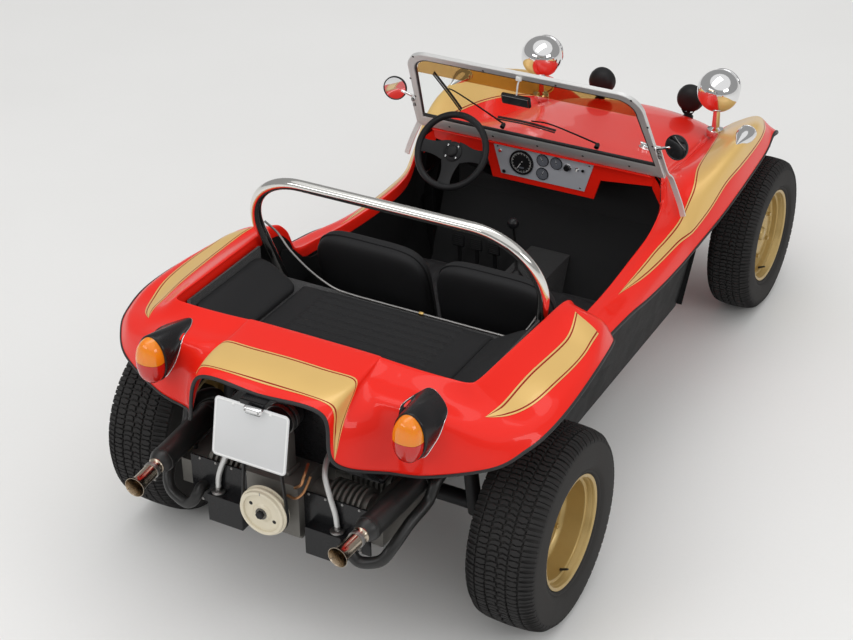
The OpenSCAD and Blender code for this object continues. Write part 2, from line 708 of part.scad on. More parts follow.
// Roll bar: drawn upright in X and Z about its top tube, then leaned forward; feet on the bulkhead
module roll_bar() {
  color("silver")
  union() {
    translate([0, Y(bar_v), bar_h])
    rotate([-bar_lean, 0, 0]) {
      c = X(bar_half) - bar_bend;
      rod([-c - bend_over, 0, 0], [c + bend_over, 0, 0], bar_d / 2);
      both() {
        translate([c, 0, -bar_bend])
        rotate([90, bar_in_angle, 0])
        rotate_extrude(angle = 90 + bar_in_angle)
        translate([bar_bend, 0])
        circle(r = bar_d / 2 - bend_less);
        rod([bar_leg_x + bend_over * tan(bar_in_angle), 0, bend_over - bar_leg_z],
          [bar_foot_x, 0, -bar_foot_d], bar_d / 2);
      }
    }
    both() {
      rod([bar_foot_x, bar_foot_y, Z(bar_foot_z) + 12],
        [bar_foot_x, Y(bulkhead_v) - gap, Z(bar_foot_z) + 12], 17);
      block([bar_foot_x - 34, Y(bulkhead_v) - gap - 7, Z(bar_foot_z) - 18],
        [bar_foot_x + 34, Y(bulkhead_v) - gap, Z(bar_foot_z) + 40]);
    }
  }
}

// Folded top bow: from the left leg down to the deck's front edge, across it and up to the right leg
bow_z = Z(deck_z) + wall_t + gap + bow_d / 2 + 0.7;
bow_y = Y(bulkhead_v) + 12;
bow_top_z = Z(1060);
bow_top_y = Y(bar_v) - (bar_h - bow_top_z) * tan(bar_lean) - bar_d / 2 / cos(bar_lean) - bow_d / 2 - gap;
bow_top_x = bar_leg_x - 6;
BOW = [[bow_top_x, bow_top_y, bow_top_z], [X(520), bow_y - 22, Z(1015)], [X(463), bow_y - 6, Z(970)],
  [X(400), bow_y, Z(925)], [X(338), bow_y, Z(887)], [X(270), bow_y, bow_z + 8], [X(200), bow_y, bow_z + 1],
  [X(100), bow_y, bow_z], [X(-150), bow_y, bow_z], [X(-390), bow_y, bow_z], [X(-440), bow_y, bow_z + 4],
  [X(-490), bow_y - 8, Z(880)], [X(-525), bow_y - 40, Z(940)], [X(-548), bow_y - 44, Z(1000)],
  [-bow_top_x, bow_top_y, bow_top_z]];

module top_bow() {
  color("silver")
  sweep(smooth(BOW, 4), bow_d / 2);
}

// Handbrake's bracket between the seats, and their clearance from it
brake_w = 44;
seat_clear = 1;
seat_in = brake_w / 2 + seat_clear;
// Inner and outer faces of a seat's base, beside the tunnel
seat_base_in = tunnel_w / 2 + 6;
seat_base_out = 500;

module car_seat(side) {
  color([0.05, 0.05, 0.05])
  union() {
    prism_x(side > 0 ? seat_base_in : -X(seat_base_out), side > 0 ? X(seat_base_out) : -seat_base_in,
      [[Y(-1110), floor_z + wall_t + gap], [Y(-640), floor_z + wall_t + gap],
        [Y(-640), Z(500)], [Y(-1110), Z(500)]]);
    prism_x(side > 0 ? seat_in : -seat_in - X(seat_w), side > 0 ? seat_in + X(seat_w) : -seat_in, [
      [Y(-1140), tunnel_top + 8], [Y(-620), tunnel_top + 8], [Y(-600), Z(520)], [Y(-518), Z(900)],
      [Y(-530), Z(940)], [Y(-570), Z(945)], [Y(-610), Z(915)], [Y(-720), Z(545)], [Y(-760), Z(525)],
      [Y(-1110), Z(560)], [Y(-1150), Z(530)]]);
  }
}

module seat_left() {
  car_seat(1);
}

module seat_right() {
  car_seat(-1);
}

// The column ends on the toe board
column_l = (steer_centre[1] - Y(toe_top_v) - column_r * sin(steer_tilt) - gap) / cos(steer_tilt);

module steering_column() {
  color([0.08, 0.08, 0.08])
  rod(steer_centre - steer_axis * column_l, steer_centre - steer_axis * 46, column_r);
}

module steering_wheel() {
  color([0.04, 0.04, 0.04])
  translate(steer_centre)
  rotate([steer_tilt - 90, 0, 0]) {
    rotate_extrude()
    translate([steer_d / 2 - 14, 0])
    circle(r = 14);
    translate([0, 0, -45])
    cylinder(h = 40, r = 30);
    for (a = [0, 90, 180])
      rotate([0, 0, a])
      block([20, -16, -14], [steer_d / 2 - 16, 16, -8]);
  }
}

module gear_lever() {
  color([0.05, 0.05, 0.05])
  union() {
    rod([0, Y(-1290), tunnel_top + 8], [0, Y(-1250), Z(760)], 7);
    translate([0, Y(-1250), Z(775)])
    sphere(r = 24);
    rod([0, Y(-1290), tunnel_top + gap], [0, Y(-1290), tunnel_top + 20], 30);
  }
}

module handbrake() {
  color([0.05, 0.05, 0.05])
  union() {
    block([-brake_w / 2, Y(-1060), tunnel_top + gap], [brake_w / 2, Y(-960), tunnel_top + 24]);
    rod([0, Y(-980), tunnel_top + 18], [0, Y(-1180), tunnel_top + 70], 12);
  }
}

module pedals() {
  color([0.1, 0.1, 0.1])
  for (x = [215, 300, 385])
    union() {
      block([X(x) - 8, Y(-1530), floor_z + wall_t + gap], [X(x) + 8, Y(-1514), floor_z + 150]);
      block([X(x) - 28, Y(-1522), floor_z + 130], [X(x) + 28, Y(-1510), floor_z + 190]);
    }
}

crank_z = 551;
case_v = 165;
case_end_v = 540;
cyl_r = 52;
// Half width of the case, height of its top over the crank, and the cylinder heads' outer face and top
case_half = 100;
case_top = 95;
head_x = 395;
head_top = 25;
head_end_v = 500;
tin_t = 6;

module engine_case() {
  color("gray")
  union() {
    block([-case_half, Y(case_v), Z(crank_z) - 110], [case_half, Y(case_end_v), Z(crank_z) + case_top]);
    block([20 - case_half, Y(case_v) + 40, Z(crank_z) - 150],
      [case_half - 20, Y(case_end_v) - 40, Z(crank_z) - 100]);
    both()
    for (v = [255, 420]) {
      rod([case_half - 10, Y(v), Z(crank_z)], [310, Y(v), Z(crank_z)], cyl_r);
      for (i = [0 : 6])
        rod([165 + 20 * i, Y(v), Z(crank_z)], [173 + 20 * i, Y(v), Z(crank_z)], cyl_r + 18);
    }
    both()
    block([305, Y(175), Z(crank_z) - 70], [head_x, Y(head_end_v), Z(crank_z) + head_top]);
    rod([0, Y(case_end_v) - 1, Z(crank_z)], [0, Y(574), Z(crank_z)], 30);
  }
}

// Tin behind the cylinders, with a lower box on each side of the case
module engine_tin() {
  y = Y(head_end_v) + gap;
  color([0.06, 0.06, 0.06])
  both()
  union() {
    block([case_half + gap, y, Z(crank_z) - 121], [350, y + tin_t, Z(crank_z) + 60]);
    block([125, y + tin_t - 1, Z(crank_z) - 159], [262, y + 48, Z(crank_z) - 51]);
  }
}

module fan_shroud() {
  low = Z(crank_z) + case_top + gap;
  color([0.06, 0.06, 0.06])
  prism_y(Y(260), Y(400), concat([[-340, low], [340, low]],
    [for (a = [-10 : 10 : 190]) [230 * cos(a) * (abs(cos(a)) > 0.6 ? 1.15 : 1), Z(740) + 190 * sin(a)]]));
}

gen_z = 838;
gen_r = 58;

module generator() {
  color([0.12, 0.12, 0.12])
  union() {
    rod([0, Y(400) + gap, Z(gen_z)], [0, Y(530), Z(gen_z)], 52);
    rod([0, Y(529), Z(gen_z)], [0, Y(580), Z(gen_z)], 18);
    rod([0, Y(576), Z(gen_z)], [0, Y(600), Z(gen_z)], gen_r);
    block([-40, Y(440), Z(crank_z) + case_top + gap], [40, Y(500), Z(gen_z)]);
  }
}

// Belt round two pulleys, one over the other: its outline d outside them
belt_d = Z(gen_z) - Z(crank_z);
belt_angle = asin((pulley_d / 2 - gen_r) / belt_d);
function belt_line(d) = concat(
  [for (i = [0 : 24]) let (a = 180 - belt_angle + (180 + 2 * belt_angle) * i / 24)
    [(pulley_d / 2 + d) * cos(a), (pulley_d / 2 + d) * sin(a)]],
  [for (i = [0 : 18]) let (a = belt_angle + (180 - 2 * belt_angle) * i / 18)
    [(gen_r + d) * cos(a), belt_d + (gen_r + d) * sin(a)]]);

module fan_belt() {
  color([0.03, 0.03, 0.03])
  translate([0, Y(594), Z(crank_z)])
  rotate([90, 0, 0])
  linear_extrude(height = 12)
  difference() {
    polygon(belt_line(8));
    polygon(belt_line(gap));
  }
}

module crank_pulley() {
  color("wheat")
  difference() {
    translate([0, Y(574) + gap, Z(crank_z)])
    rotate([-90, 0, 0])
    difference() {
      cylinder(h = 40, r = pulley_d / 2);
      translate([0, 0, 30])
      cylinder(h = 20, r = pulley_d / 2 - 14);
      for (a = [0 : 60 : 300])
        rotate([0, 0, a])
        translate([pulley_d / 2 - 32, 0, -1])
        cylinder(h = 60, r = 9);
    }
  }
}

// Engine places keep their width when the body's changes
function E(p) = [p[0], Y(p[1]), Z(p[2])];
// Muffler from its front end to the open, flared tip
muffler_a = [420, 260, 630];
muffler_b = [388, 770, 624];
flare_d = 72;
flare_l = 42;
tip_t = 2.5;

// A round cone between two points
module cone(a, b, r1, r2) {
  d = b - a;
  translate(a)
  rotate([0, acos(d[2] / norm(d)), atan2(d[1], d[0])])
  cylinder(h = norm(d), r1 = r1, r2 = r2);
}

module exhaust() {
  a = E(muffler_a);
  // The tip's rim, which is square to the pipe, reaches the full length
  b = E(muffler_b) - [0, 2.3, 0];
  d = unit(b - a);
  l = norm(b - a);
  color([0.05, 0.05, 0.05])
  difference() {
    union() {
      rod(a, a + d * (l - 135), muffler_d / 2);
      rod(a + d * (l - 137), b - d * (flare_l - 4), tip_d / 2);
      cone(b - d * flare_l, b, tip_d / 2 - 0.5, flare_d / 2);
      rod([head_x - 10, Y(430), Z(crank_z) + head_top + gap], [head_x - 10, Y(430), Z(612)], 9);
    }
    rod(b - d * 110, b - d * (flare_l - 4), tip_d / 2 - tip_t);
    cone(b - d * flare_l, b + d, tip_d / 2 - tip_t - 0.5, flare_d / 2 - tip_t + 0.2);
  }
}

module exhaust_left() {
  exhaust();
}

module exhaust_right() {
  mirror([1, 0, 0])
  exhaust();
}

// Header pipe of the left side: out of the muffler's front end, back beside it, round and in to the tin
HEADER = [[421, 248, 630], [421.5, 236, 630.3], [430, 212, 634], [446, 201, 642], [468, 213, 650],
  [484, 258, 655], [486, 312, 645], [478, 350, 595], [460, 443, 560], [440, 521, 508], [412, 548, 466],
  [350, 560, 444], [316, 562, 460], [301, 552, 488], [300, 535, 500], [300, 518, 500], [300, 506, 500]];
header_r = 20;

module exhaust_pipes() {
  a = E(muffler_a);
  d = unit(E(muffler_b) - a);
  head_end = [0, 0.6, 0];
  last = len(HEADER) - 1;
  color([0.05, 0.05, 0.05])
  both()
  sweep(smooth(concat([a - d * 3 * gap],
    [for (i = [0 : last]) E(HEADER[i]) + (i == last ? head_end : [0, 0, 0])]), 3), header_r, 12, [0, 0, 1]);
}

gear_r = 105;
gear_z = 420;

module gearbox() {
  color("gray")
  union() {
    rod([0, Y(torsion_v) + torsion_r + gap, gear_z], [0, Y(60), gear_z], gear_r);
    rod([0, Y(40), gear_z + 60], [0, Y(case_v) - gap, gear_z + 60], 165);
  }
}

hub_x = rear_track / 2 - 135;

module rear_axle() {
  color([0.1, 0.1, 0.1])
  union() {
    rod([-460, Y(torsion_v), rear_z], [460, Y(torsion_v), rear_z], torsion_r);
    both() {
      rod([gear_r + 8, rear_y, rear_z], [hub_x, rear_y, rear_z], 30);
      rod([hub_x - 30, rear_y, rear_z], [hub_x, rear_y, rear_z], 62);
      rod([hub_x - 1, rear_y, rear_z], [rear_track / 2 + 10, rear_y, rear_z], 20);
      rod([450, Y(torsion_v), rear_z], [hub_x - 15, rear_y, rear_z], 26);
      rod([hub_x - 90, rear_y + 60, rear_z + 10], [hub_x - 130, rear_y + 70, Z(760)], 26);
      rod([hub_x - 90, rear_y + 60, rear_z + 10], [hub_x - 90, rear_y, rear_z], 20);
    }
  }
}

king_x = front_track / 2 - 75;
beam_half = king_x - 150;
king_h = 70;

module front_beam() {
  color([0.1, 0.1, 0.1])
  union() {
    for (dz = [-75, 75]) {
      rod([-beam_half, front_y - beam_ahead, front_z + dz],
        [beam_half, front_y - beam_ahead, front_z + dz], beam_r);
      both()
      rod([beam_half - 20, front_y - beam_ahead, front_z + dz * 1.2],
        [king_x, front_y, front_z + dz * 1.2], 13);
    }
    for (x = [-beam_half + 60, -90, 90, beam_half - 60])
      block([x - 8, front_y - beam_ahead - 26, front_z - 90],
        [x + 8, front_y - beam_ahead + 26, front_z + 90]);
    both()
    rod([beam_half - 40, front_y - beam_ahead + 70, front_z - 80],
      [beam_half - 40, front_y - beam_ahead + 50, Z(640)], 22);
    both()
    rod([beam_half - 40, front_y - beam_ahead + 70, front_z - 80],
      [beam_half - 20, front_y - beam_ahead, front_z - 90], 12);
  }
}

module knuckle() {
  color([0.12, 0.12, 0.12])
  union() {
    rod([king_x, front_y, front_z - king_h], [king_x, front_y, front_z + king_h], 20);
    rod([king_x, front_y, front_z], [front_track / 2 + 10, front_y, front_z], 20);
    rod([king_x + 22, front_y, front_z], [king_x + 30, front_y, front_z], 90);
    rod([king_x, front_y, front_z - 40], [king_x - 25, front_y + 110, front_z - 40], 11);
  }
}

module knuckle_left() {
  knuckle();
}

module knuckle_right() {
  mirror([1, 0, 0])
  knuckle();
}

// Tyre section over the rim's flange: share of the way from the rim's half width to the tyre's,
// and of the height from the flange to the crown
TYRE = [[0.35, 0.05], [0.85, 0.25], [1, 0.45], [0.97, 0.66], [0.86, 0.86], [0.62, 0.965], [0, 0.99], [-2, 1]];
bead_r = rim_d / 2 - 13;
hub_bore = 20.5;

module tyre(d, w, rim_w) {
  half = concat([[bead_r, rim_w / 2 - 13], [rim_d / 2 + 1, rim_w / 2 - 5]],
    [for (p = TYRE) [rim_d / 2 + 3 + (d / 2 - rim_d / 2 - 3) * p[1], rim_w / 2 + (w - rim_w) / 2 * p[0]]]);
  color([0.09, 0.09, 0.09])
  rotate_extrude($fn = 96)
  polygon(concat(half, [for (i = [len(half) - 1 : -1 : 0]) [half[i][0], -half[i][1]]]));
}

// Rim with its drum; dish is the depth of the disc under the outer lip
module rim(w, dish) {
  color("goldenrod")
  difference() {
    union() {
      rotate_extrude($fn = 96)
      polygon([[bead_r - 10, -w / 2], [rim_d / 2, -w / 2], [rim_d / 2, -w / 2 + 4],
        [bead_r - gap, -w / 2 + 12], [bead_r - gap, w / 2 - 12],
        [rim_d / 2, w / 2 - 4], [rim_d / 2, w / 2], [bead_r - 10, w / 2]]);
      translate([0, 0, w / 2 - dish - 8])
      cylinder(h = 8, r = bead_r - 6);
      translate([0, 0, w / 2 - dish - 60])
      cylinder(h = 56, r = 118);
      translate([0, 0, w / 2 - dish - 1])
      cylinder(h = 34, r = 32);
      for (a = [0 : 72 : 288])
        rotate([0, 0, a])
        translate([bolt_circle / 2, 0, w / 2 - dish - 1])
        cylinder(h = 15, r = 11);
    }
    translate([0, 0, -w])
    cylinder(h = w * 1.5 - dish + 12, r = hub_bore);
  }
}

front_rim_w = 165;
rear_rim_w = 227;
front_dish = 60;
rear_dish = 115;

module wheel_at(side, front) {
  x = side * (front ? front_track : rear_track) / 2;
  translate([x, front ? front_y : rear_y, front ? front_z : rear_z])
  rotate([0, side * 90, 0])
  children();
}

module tyre_front_left() {
  wheel_at(1, true)
  tyre(front_tyre_d, front_tyre_w, front_rim_w);
}

module tyre_front_right() {
  wheel_at(-1, true)
  tyre(front_tyre_d, front_tyre_w, front_rim_w);
}

module tyre_rear_left() {
  wheel_at(1, false)
  tyre(rear_tyre_d, rear_tyre_w, rear_rim_w);
}

module tyre_rear_right() {
  wheel_at(-1, false)
  tyre(rear_tyre_d, rear_tyre_w, rear_rim_w);
}

module rim_front_left() {
  wheel_at(1, true)
  rim(front_rim_w, front_dish);
}

module rim_front_right() {
  wheel_at(-1, true)
  rim(front_rim_w, front_dish);
}

module rim_rear_left() {
  wheel_at(1, false)
  rim(rear_rim_w, rear_dish);
}

module rim_rear_right() {
  wheel_at(-1, false)
  rim(rear_rim_w, rear_dish);
}

body_shell();
floor_pan();
tub_sides();
toe_board();
rear_bulkhead();
rear_deck();
dash();
instrument_panel();
gauges();
windscreen_frame();
windscreen_glass();
interior_mirror();
side_mirrors();
wipers();
headlamps();
aux_lamps();
front_indicators();
tail_lamp_pods();
tail_lamp_lenses();
number_plate();
roll_bar();
top_bow();
seat_left();
seat_right();
deck_pad();
side_pads();
steering_column();
steering_wheel();
gear_lever();
handbrake();
pedals();
engine_case();
engine_tin();
fan_shroud();
generator();
crank_pulley();
exhaust_left();
exhaust_right();
gearbox();
rear_axle();
front_beam();
knuckle_left();
knuckle_right();
tyre_front_left();
tyre_front_right();
tyre_rear_left();
tyre_rear_right();
rim_front_left();
rim_front_right();
rim_rear_left();
rim_rear_right();
fan_belt();
exhaust_pipes();
plate_lamp();
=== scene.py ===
import bpy
import bmesh
import json
import math
import numpy as np
from mathutils import Matrix, Vector


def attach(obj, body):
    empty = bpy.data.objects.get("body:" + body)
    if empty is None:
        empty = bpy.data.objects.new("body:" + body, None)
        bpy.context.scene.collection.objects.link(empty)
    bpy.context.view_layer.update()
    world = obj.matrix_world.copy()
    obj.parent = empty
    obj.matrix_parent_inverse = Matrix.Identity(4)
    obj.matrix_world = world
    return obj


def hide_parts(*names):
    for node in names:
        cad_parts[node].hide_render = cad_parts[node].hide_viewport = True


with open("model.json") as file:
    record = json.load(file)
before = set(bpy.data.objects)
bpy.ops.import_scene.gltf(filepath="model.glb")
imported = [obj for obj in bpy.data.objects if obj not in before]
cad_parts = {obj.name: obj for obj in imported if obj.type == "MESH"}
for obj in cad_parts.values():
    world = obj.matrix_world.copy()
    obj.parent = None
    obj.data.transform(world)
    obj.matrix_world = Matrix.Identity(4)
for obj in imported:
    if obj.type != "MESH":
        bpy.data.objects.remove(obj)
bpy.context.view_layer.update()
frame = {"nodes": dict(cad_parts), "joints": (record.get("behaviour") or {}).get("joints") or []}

REAR_AXLE = next(j["pos_m"][1] for j in frame["joints"] if j["name"] == "spin_rear_left")
TAU = 2 * math.pi
X_AXIS, Y_AXIS, Z_AXIS = np.eye(3)
SIDES = (("left", 1), ("right", -1))


# Places and small vectors

def at(points):
    """Body places (x, v behind the rear axle, z) in millimetres, as metres in the part's frame."""
    p = np.array(points, float) / 1000
    p[..., 1] += REAR_AXLE
    return p


def upright(x, z, v):
    """Places of an upright outline, all at one distance behind the rear axle."""
    return at(np.column_stack([x, np.full(len(x), v), z]))


def tilted(points, foot, up, out):
    """Places in a flat frame (across, up its slope, out of its face), as metres in the part's frame."""
    p = np.asarray(points, float)
    return at(np.array(foot) + p[..., :1] * X_AXIS + p[..., 1:2] * up + p[..., 2:3] * out)


def unit(a):
    a = np.asarray(a, float)
    return a / np.maximum(np.linalg.norm(a, axis=-1, keepdims=True), 1e-12)


def flip(points):
    return np.asarray(points, float) * [-1, 1, 1]


def blend4(a, b, c, d, t):
    """Smooth step from b to c, with a and d as the neighbours."""
    return b + 0.5 * t * (c - a + t * (2 * a - 5 * b + 4 * c - d + t * (3 * (b - c) + d - a)))


def smooth_line(points, steps):
    """A smooth curve through the points, with that many steps between two of them."""
    p = np.asarray(points, float)
    p = np.vstack([2 * p[0] - p[1], p, 2 * p[-1] - p[-2]])
    t = (np.arange(steps) / steps)[:, None]
    runs = [blend4(*p[i:i + 4], t) for i in range(len(p) - 3)]
    return np.vstack(runs + [p[-2:-1]])


def even_line(points, count):
    """The same line with its points at even distances."""
    p = np.asarray(points, float)
    d = np.concatenate([[0], np.cumsum(np.linalg.norm(np.diff(p, axis=0), axis=1))])
    s = np.linspace(0, d[-1], count)
    return np.stack([np.interp(s, d, p[:, k]) for k in range(p.shape[1])], 1)


# Shapes: each gives its points and faces

def surface(points, wrap_rows=False, wrap_cols=False):
    """Faces over a grid of points, which may close on itself."""
    points = np.asarray(points, float)
    n, m = points.shape[:2]
    faces = []
    for i in range(n if wrap_rows else n - 1):
        for j in range(m if wrap_cols else m - 1):
            a, b = i * m, (i + 1) % n * m
            k = (j + 1) % m
            faces.append((a + j, a + k, b + k, b + j))
    return points.reshape(-1, 3), faces


def tube(path, radius, sides=16, closed=False):
    """A round tube along a path, with flat ends; the radius may change along it."""
    path = np.asarray(path, float)
    n = len(path)
    radius = np.broadcast_to(np.asarray(radius, float), (n,))
    if closed:
        ways = unit(np.roll(path, -1, 0) - np.roll(path, 1, 0))
    else:
        ways = unit(np.gradient(path, axis=0))
    side = unit(np.cross(ways[0], [0.3, 0.2, 0.93]))
    angles = np.arange(sides) * TAU / sides
    rings = []
    for i in range(n):
        side = unit(side - ways[i] * np.dot(side, ways[i]))
        other = np.cross(ways[i], side)
        rings.append(path[i] + radius[i] * (np.cos(angles)[:, None] * side + np.sin(angles)[:,
            None] * other))
    points, faces = surface(np.array(rings), closed, True)
    if not closed:
        faces += [tuple(range(sides)), tuple(range((n - 1) * sides, n * sides))]
    return points, faces


def basis(axis):
    """Three directions square to each other, the last along the axis."""
    axis = unit(axis)
    side = unit(np.cross(axis, [0.0, 0.0, 1.0] if abs(axis[2]) < 0.9 else [0.0, 1.0, 0.0]))
    return side, np.cross(axis, side), axis


def lathe(profile, centre, axis, sides=48, closed=False):
    """A profile of (radius, distance along the axis) turned round an axis."""
    a, b, c = basis(axis)
    angles = np.arange(sides) * TAU / sides
    ring = np.cos(angles)[:, None] * a + np.sin(angles)[:, None] * b
    rows = [np.asarray(centre) + r * ring + h * c for r, h in profile]
    return surface(np.array(rows), closed, True)


def mm(profile):
    return [(r / 1000, h / 1000) for r, h in profile]


def turned(profile, centre, axis, sides=48, index=0):
    """A profile in millimetres turned round an axis, with the number of its material."""
    return lathe(mm(profile), centre, axis, sides) + (index,)


def round_box(lo, hi, radius, steps=3):
    """A box with rounded edges."""
    bm = bmesh.new()
    bmesh.ops.create_cube(bm, size=1)
    lo, hi = np.asarray(lo, float), np.asarray(hi, float)
    for v in bm.verts:
        v.co = Vector((lo + hi) / 2 + np.array(v.co) * (hi - lo))
    bmesh.ops.bevel(bm, geom=list(bm.edges), offset=radius, segments=steps, profile=0.5, affect="EDGES")
    bm.verts.index_update()
    shape = np.array([v.co[:] for v in bm.verts]), [tuple(v.index for v in f.verts) for f in bm.faces]
    bm.free()
    return shape


def mirrored(shape):
    return (flip(shape[0]),) + tuple(shape[1:])


def both(shapes):
    return list(shapes) + [mirrored(s) for s in shapes]


def tinted(shapes, index):
    return [(s[0], s[1], index) for s in shapes]


def shift(spot):
    return Matrix.Translation(Vector(spot))


def place(shape, turn):
    m = np.array(turn)
    return (np.asarray(shape[0]) @ m[:3, :3].T + m[:3, 3],) + tuple(shape[1:])


# Pieces

def new_object(name, mesh):
    obj = bpy.data.objects.new(name, mesh)
    bpy.context.scene.collection.objects.link(obj)
    return obj


def raw_mesh(name, shapes, sharp=35, merge=1e-5):
    """One smooth mesh of many shapes; edges sharper than the angle, in degrees, stay sharp."""
    bm = bmesh.new()
    for shape in shapes:
        made = [bm.verts.new(v) for v in shape[0]]
        index = shape[2] if len(shape) > 2 else 0
        for f in shape[1]:
            face = bm.faces.new([made[k] for k in f])
            face.material_index = index
            face.smooth = True
    bmesh.ops.remove_doubles(bm, verts=bm.verts, dist=merge)
    bmesh.ops.recalc_face_normals(bm, faces=bm.faces)
    mesh = bpy.data.meshes.new(name)
    bm.to_mesh(mesh)
    bm.free()
    mesh.set_sharp_from_angle(angle=math.radians(sharp))
    return mesh


def settle(obj, materials=(), body="chassis", stands_for=()):
    """Paints the object, unless a tree has, and tells the frame what it rides on and stands for."""
    if not obj.data.materials:
        for m in materials:
            obj.data.materials.append(m)
    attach(obj, body)
    if stands_for:
        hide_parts(*stands_for)
    return obj


def piece(name, shapes, materials, body="chassis", stands_for=(), sharp=35):
    """A finished piece of the scene, made of shapes."""
    obj = new_object(name, raw_mesh(name, shapes, sharp))
    return settle(obj, materials, body, stands_for)


def applied(obj):
    """The object with its modifiers made part of its mesh."""
    graph = bpy.context.evaluated_depsgraph_get()
    mesh = bpy.data.meshes.new_from_object(obj.evaluated_get(graph))
    obj.modifiers.clear()
    old = obj.data
    obj.data = mesh
    bpy.data.meshes.remove(old)
    return obj


# Shader node groups

def link(tree, a, b):
    tree.links.new(a, b)


def links(tree, *pairs):
    for pair in pairs:
        tree.links.new(*pair)


def add_node(tree, kind, values=(), **settings):
    n = tree.nodes.new(kind)
    for k, v in settings.items():
        setattr(n, k, v)
    for k, v in dict(values).items():
        n.inputs[k].default_value = v
    return n


def start_group(name, inputs, outputs):
    tree = bpy.data.node_groups.new(name, "ShaderNodeTree")
    for n, kind, value in inputs:
        s = tree.interface.new_socket(n, in_out="INPUT", socket_type=kind)
        if value is not None:
            s.default_value = value
    for n, kind in outputs:
        tree.interface.new_socket(n, in_out="OUTPUT", socket_type=kind)
    return tree, tree.nodes.new("NodeGroupInput"), tree.nodes.new("NodeGroupOutput")


def make_mottle():
    """Soft patches over fine specks, from 0 to 1, and the specks alone."""
    tree, i, o = start_group("mottle", [("Vector", "NodeSocketVector", None),
        ("Scale", "NodeSocketFloat", 10.0), ("Fine Scale", "NodeSocketFloat", 200.0)],
        [("Mask", "NodeSocketFloat"), ("Fine", "NodeSocketFloat")])
    broad = add_node(tree, "ShaderNodeTexNoise", {"Detail": 4.0, "Roughness": 0.6})
    fine = add_node(tree, "ShaderNodeTexNoise", {"Detail": 2.0})
    mix = add_node(tree, "ShaderNodeMath", {1: 0.35}, operation="MULTIPLY_ADD")
    scaled = add_node(tree, "ShaderNodeMath", {1: 0.65}, operation="MULTIPLY")
    for n, s in ((broad, "Scale"), (fine, "Fine Scale")):
        links(tree, (i.outputs["Vector"], n.inputs["Vector"]),
            (i.outputs[s], n.inputs["Scale"]))
    links(tree, (broad.outputs["Fac"], scaled.inputs[0]),
        (fine.outputs["Fac"], mix.inputs[0]),
        (scaled.outputs[0], mix.inputs[2]),
        (mix.outputs[0], o.inputs["Mask"]),
        (fine.outputs["Fac"], o.inputs["Fine"]))
    return tree


def make_hide_grain():
    """Pebbled grain of vinyl hide: rounded cells with creases."""
    tree, i, o = start_group("hide_grain", [("Vector", "NodeSocketVector", None),
        ("Scale", "NodeSocketFloat", 300.0)], [("Height", "NodeSocketFloat")])
    cells = add_node(tree, "ShaderNodeTexVoronoi", feature="SMOOTH_F1")
    links(tree, (i.outputs["Vector"], cells.inputs["Vector"]),
        (i.outputs["Scale"], cells.inputs["Scale"]),
        (cells.outputs["Distance"], o.inputs["Height"]))
    return tree


def make_brushing():
    """Fine parallel scratches along one direction."""
    tree, i, o = start_group("brushing", [("Vector", "NodeSocketVector", None),
        ("Stretch", "NodeSocketVector", (8, 900, 900))], [("Lines", "NodeSocketFloat")])
    m = add_node(tree, "ShaderNodeMapping")
    n = add_node(tree, "ShaderNodeTexNoise", {"Scale": 1.0, "Detail": 3.0})
    links(tree, (i.outputs["Vector"], m.inputs["Vector"]),
        (i.outputs["Stretch"], m.inputs["Scale"]),
        (m.outputs[0], n.inputs["Vector"]),
        (n.outputs["Fac"], o.inputs["Lines"]))
    return tree


MOTTLE, HIDE_GRAIN, BRUSHING = make_mottle(), make_hide_grain(), make_brushing()


# Materials

def place_group(tree, group, coords, values):
    n = tree.nodes.new("ShaderNodeGroup")
    n.node_tree = group
    link(tree, coords, n.inputs["Vector"])
    for k, v in values.items():
        n.inputs[k].default_value = v
    return n


def rgba(c):
    return (c[0], c[1], c[2], 1.0)


def finish(name, dark, light, rough, patch=12.0, fine=250.0, bump=0.0, grain=None, brushed=None, **sockets):
    """A surface whose colour and gloss wander between two values, with a fine relief."""
    mat = bpy.data.materials.new(name)
    mat.use_nodes = True
    tree = mat.node_tree
    shader = tree.nodes["Principled BSDF"]
    coords = tree.nodes.new("ShaderNodeTexCoord").outputs["Object"]
    m = place_group(tree, MOTTLE, coords, {"Scale": patch, "Fine Scale": fine})
    colour = add_node(tree, "ShaderNodeMix", {6: rgba(dark), 7: rgba(light)}, data_type="RGBA")
    links(tree, (m.outputs["Mask"], colour.inputs[0]),
        (colour.outputs[2], shader.inputs["Base Color"]))
    gloss = add_node(tree, "ShaderNodeMapRange", {1: 0.3, 2: 0.7, 3: rough[0], 4: rough[1]})
    links(tree, (m.outputs["Mask"], gloss.inputs[0]),
        (gloss.outputs[0], shader.inputs["Roughness"]))
    if bump:
        relief = add_node(tree, "ShaderNodeBump", {"Strength": bump, "Distance": 0.002})
        if grain:
            g = place_group(tree, HIDE_GRAIN, coords, {"Scale": grain})
            link(tree, g.outputs["Height"], relief.inputs["Height"])
        elif brushed:
            g = place_group(tree, BRUSHING, coords, {"Stretch": brushed})
            link(tree, g.outputs["Lines"], relief.inputs["Height"])
        else:
            link(tree, m.outputs["Fine"], relief.inputs["Height"])
        link(tree, relief.outputs[0], shader.inputs["Normal"])
    for k, v in sockets.items():
        shader.inputs[k.replace("_", " ")].default_value = v
    return mat


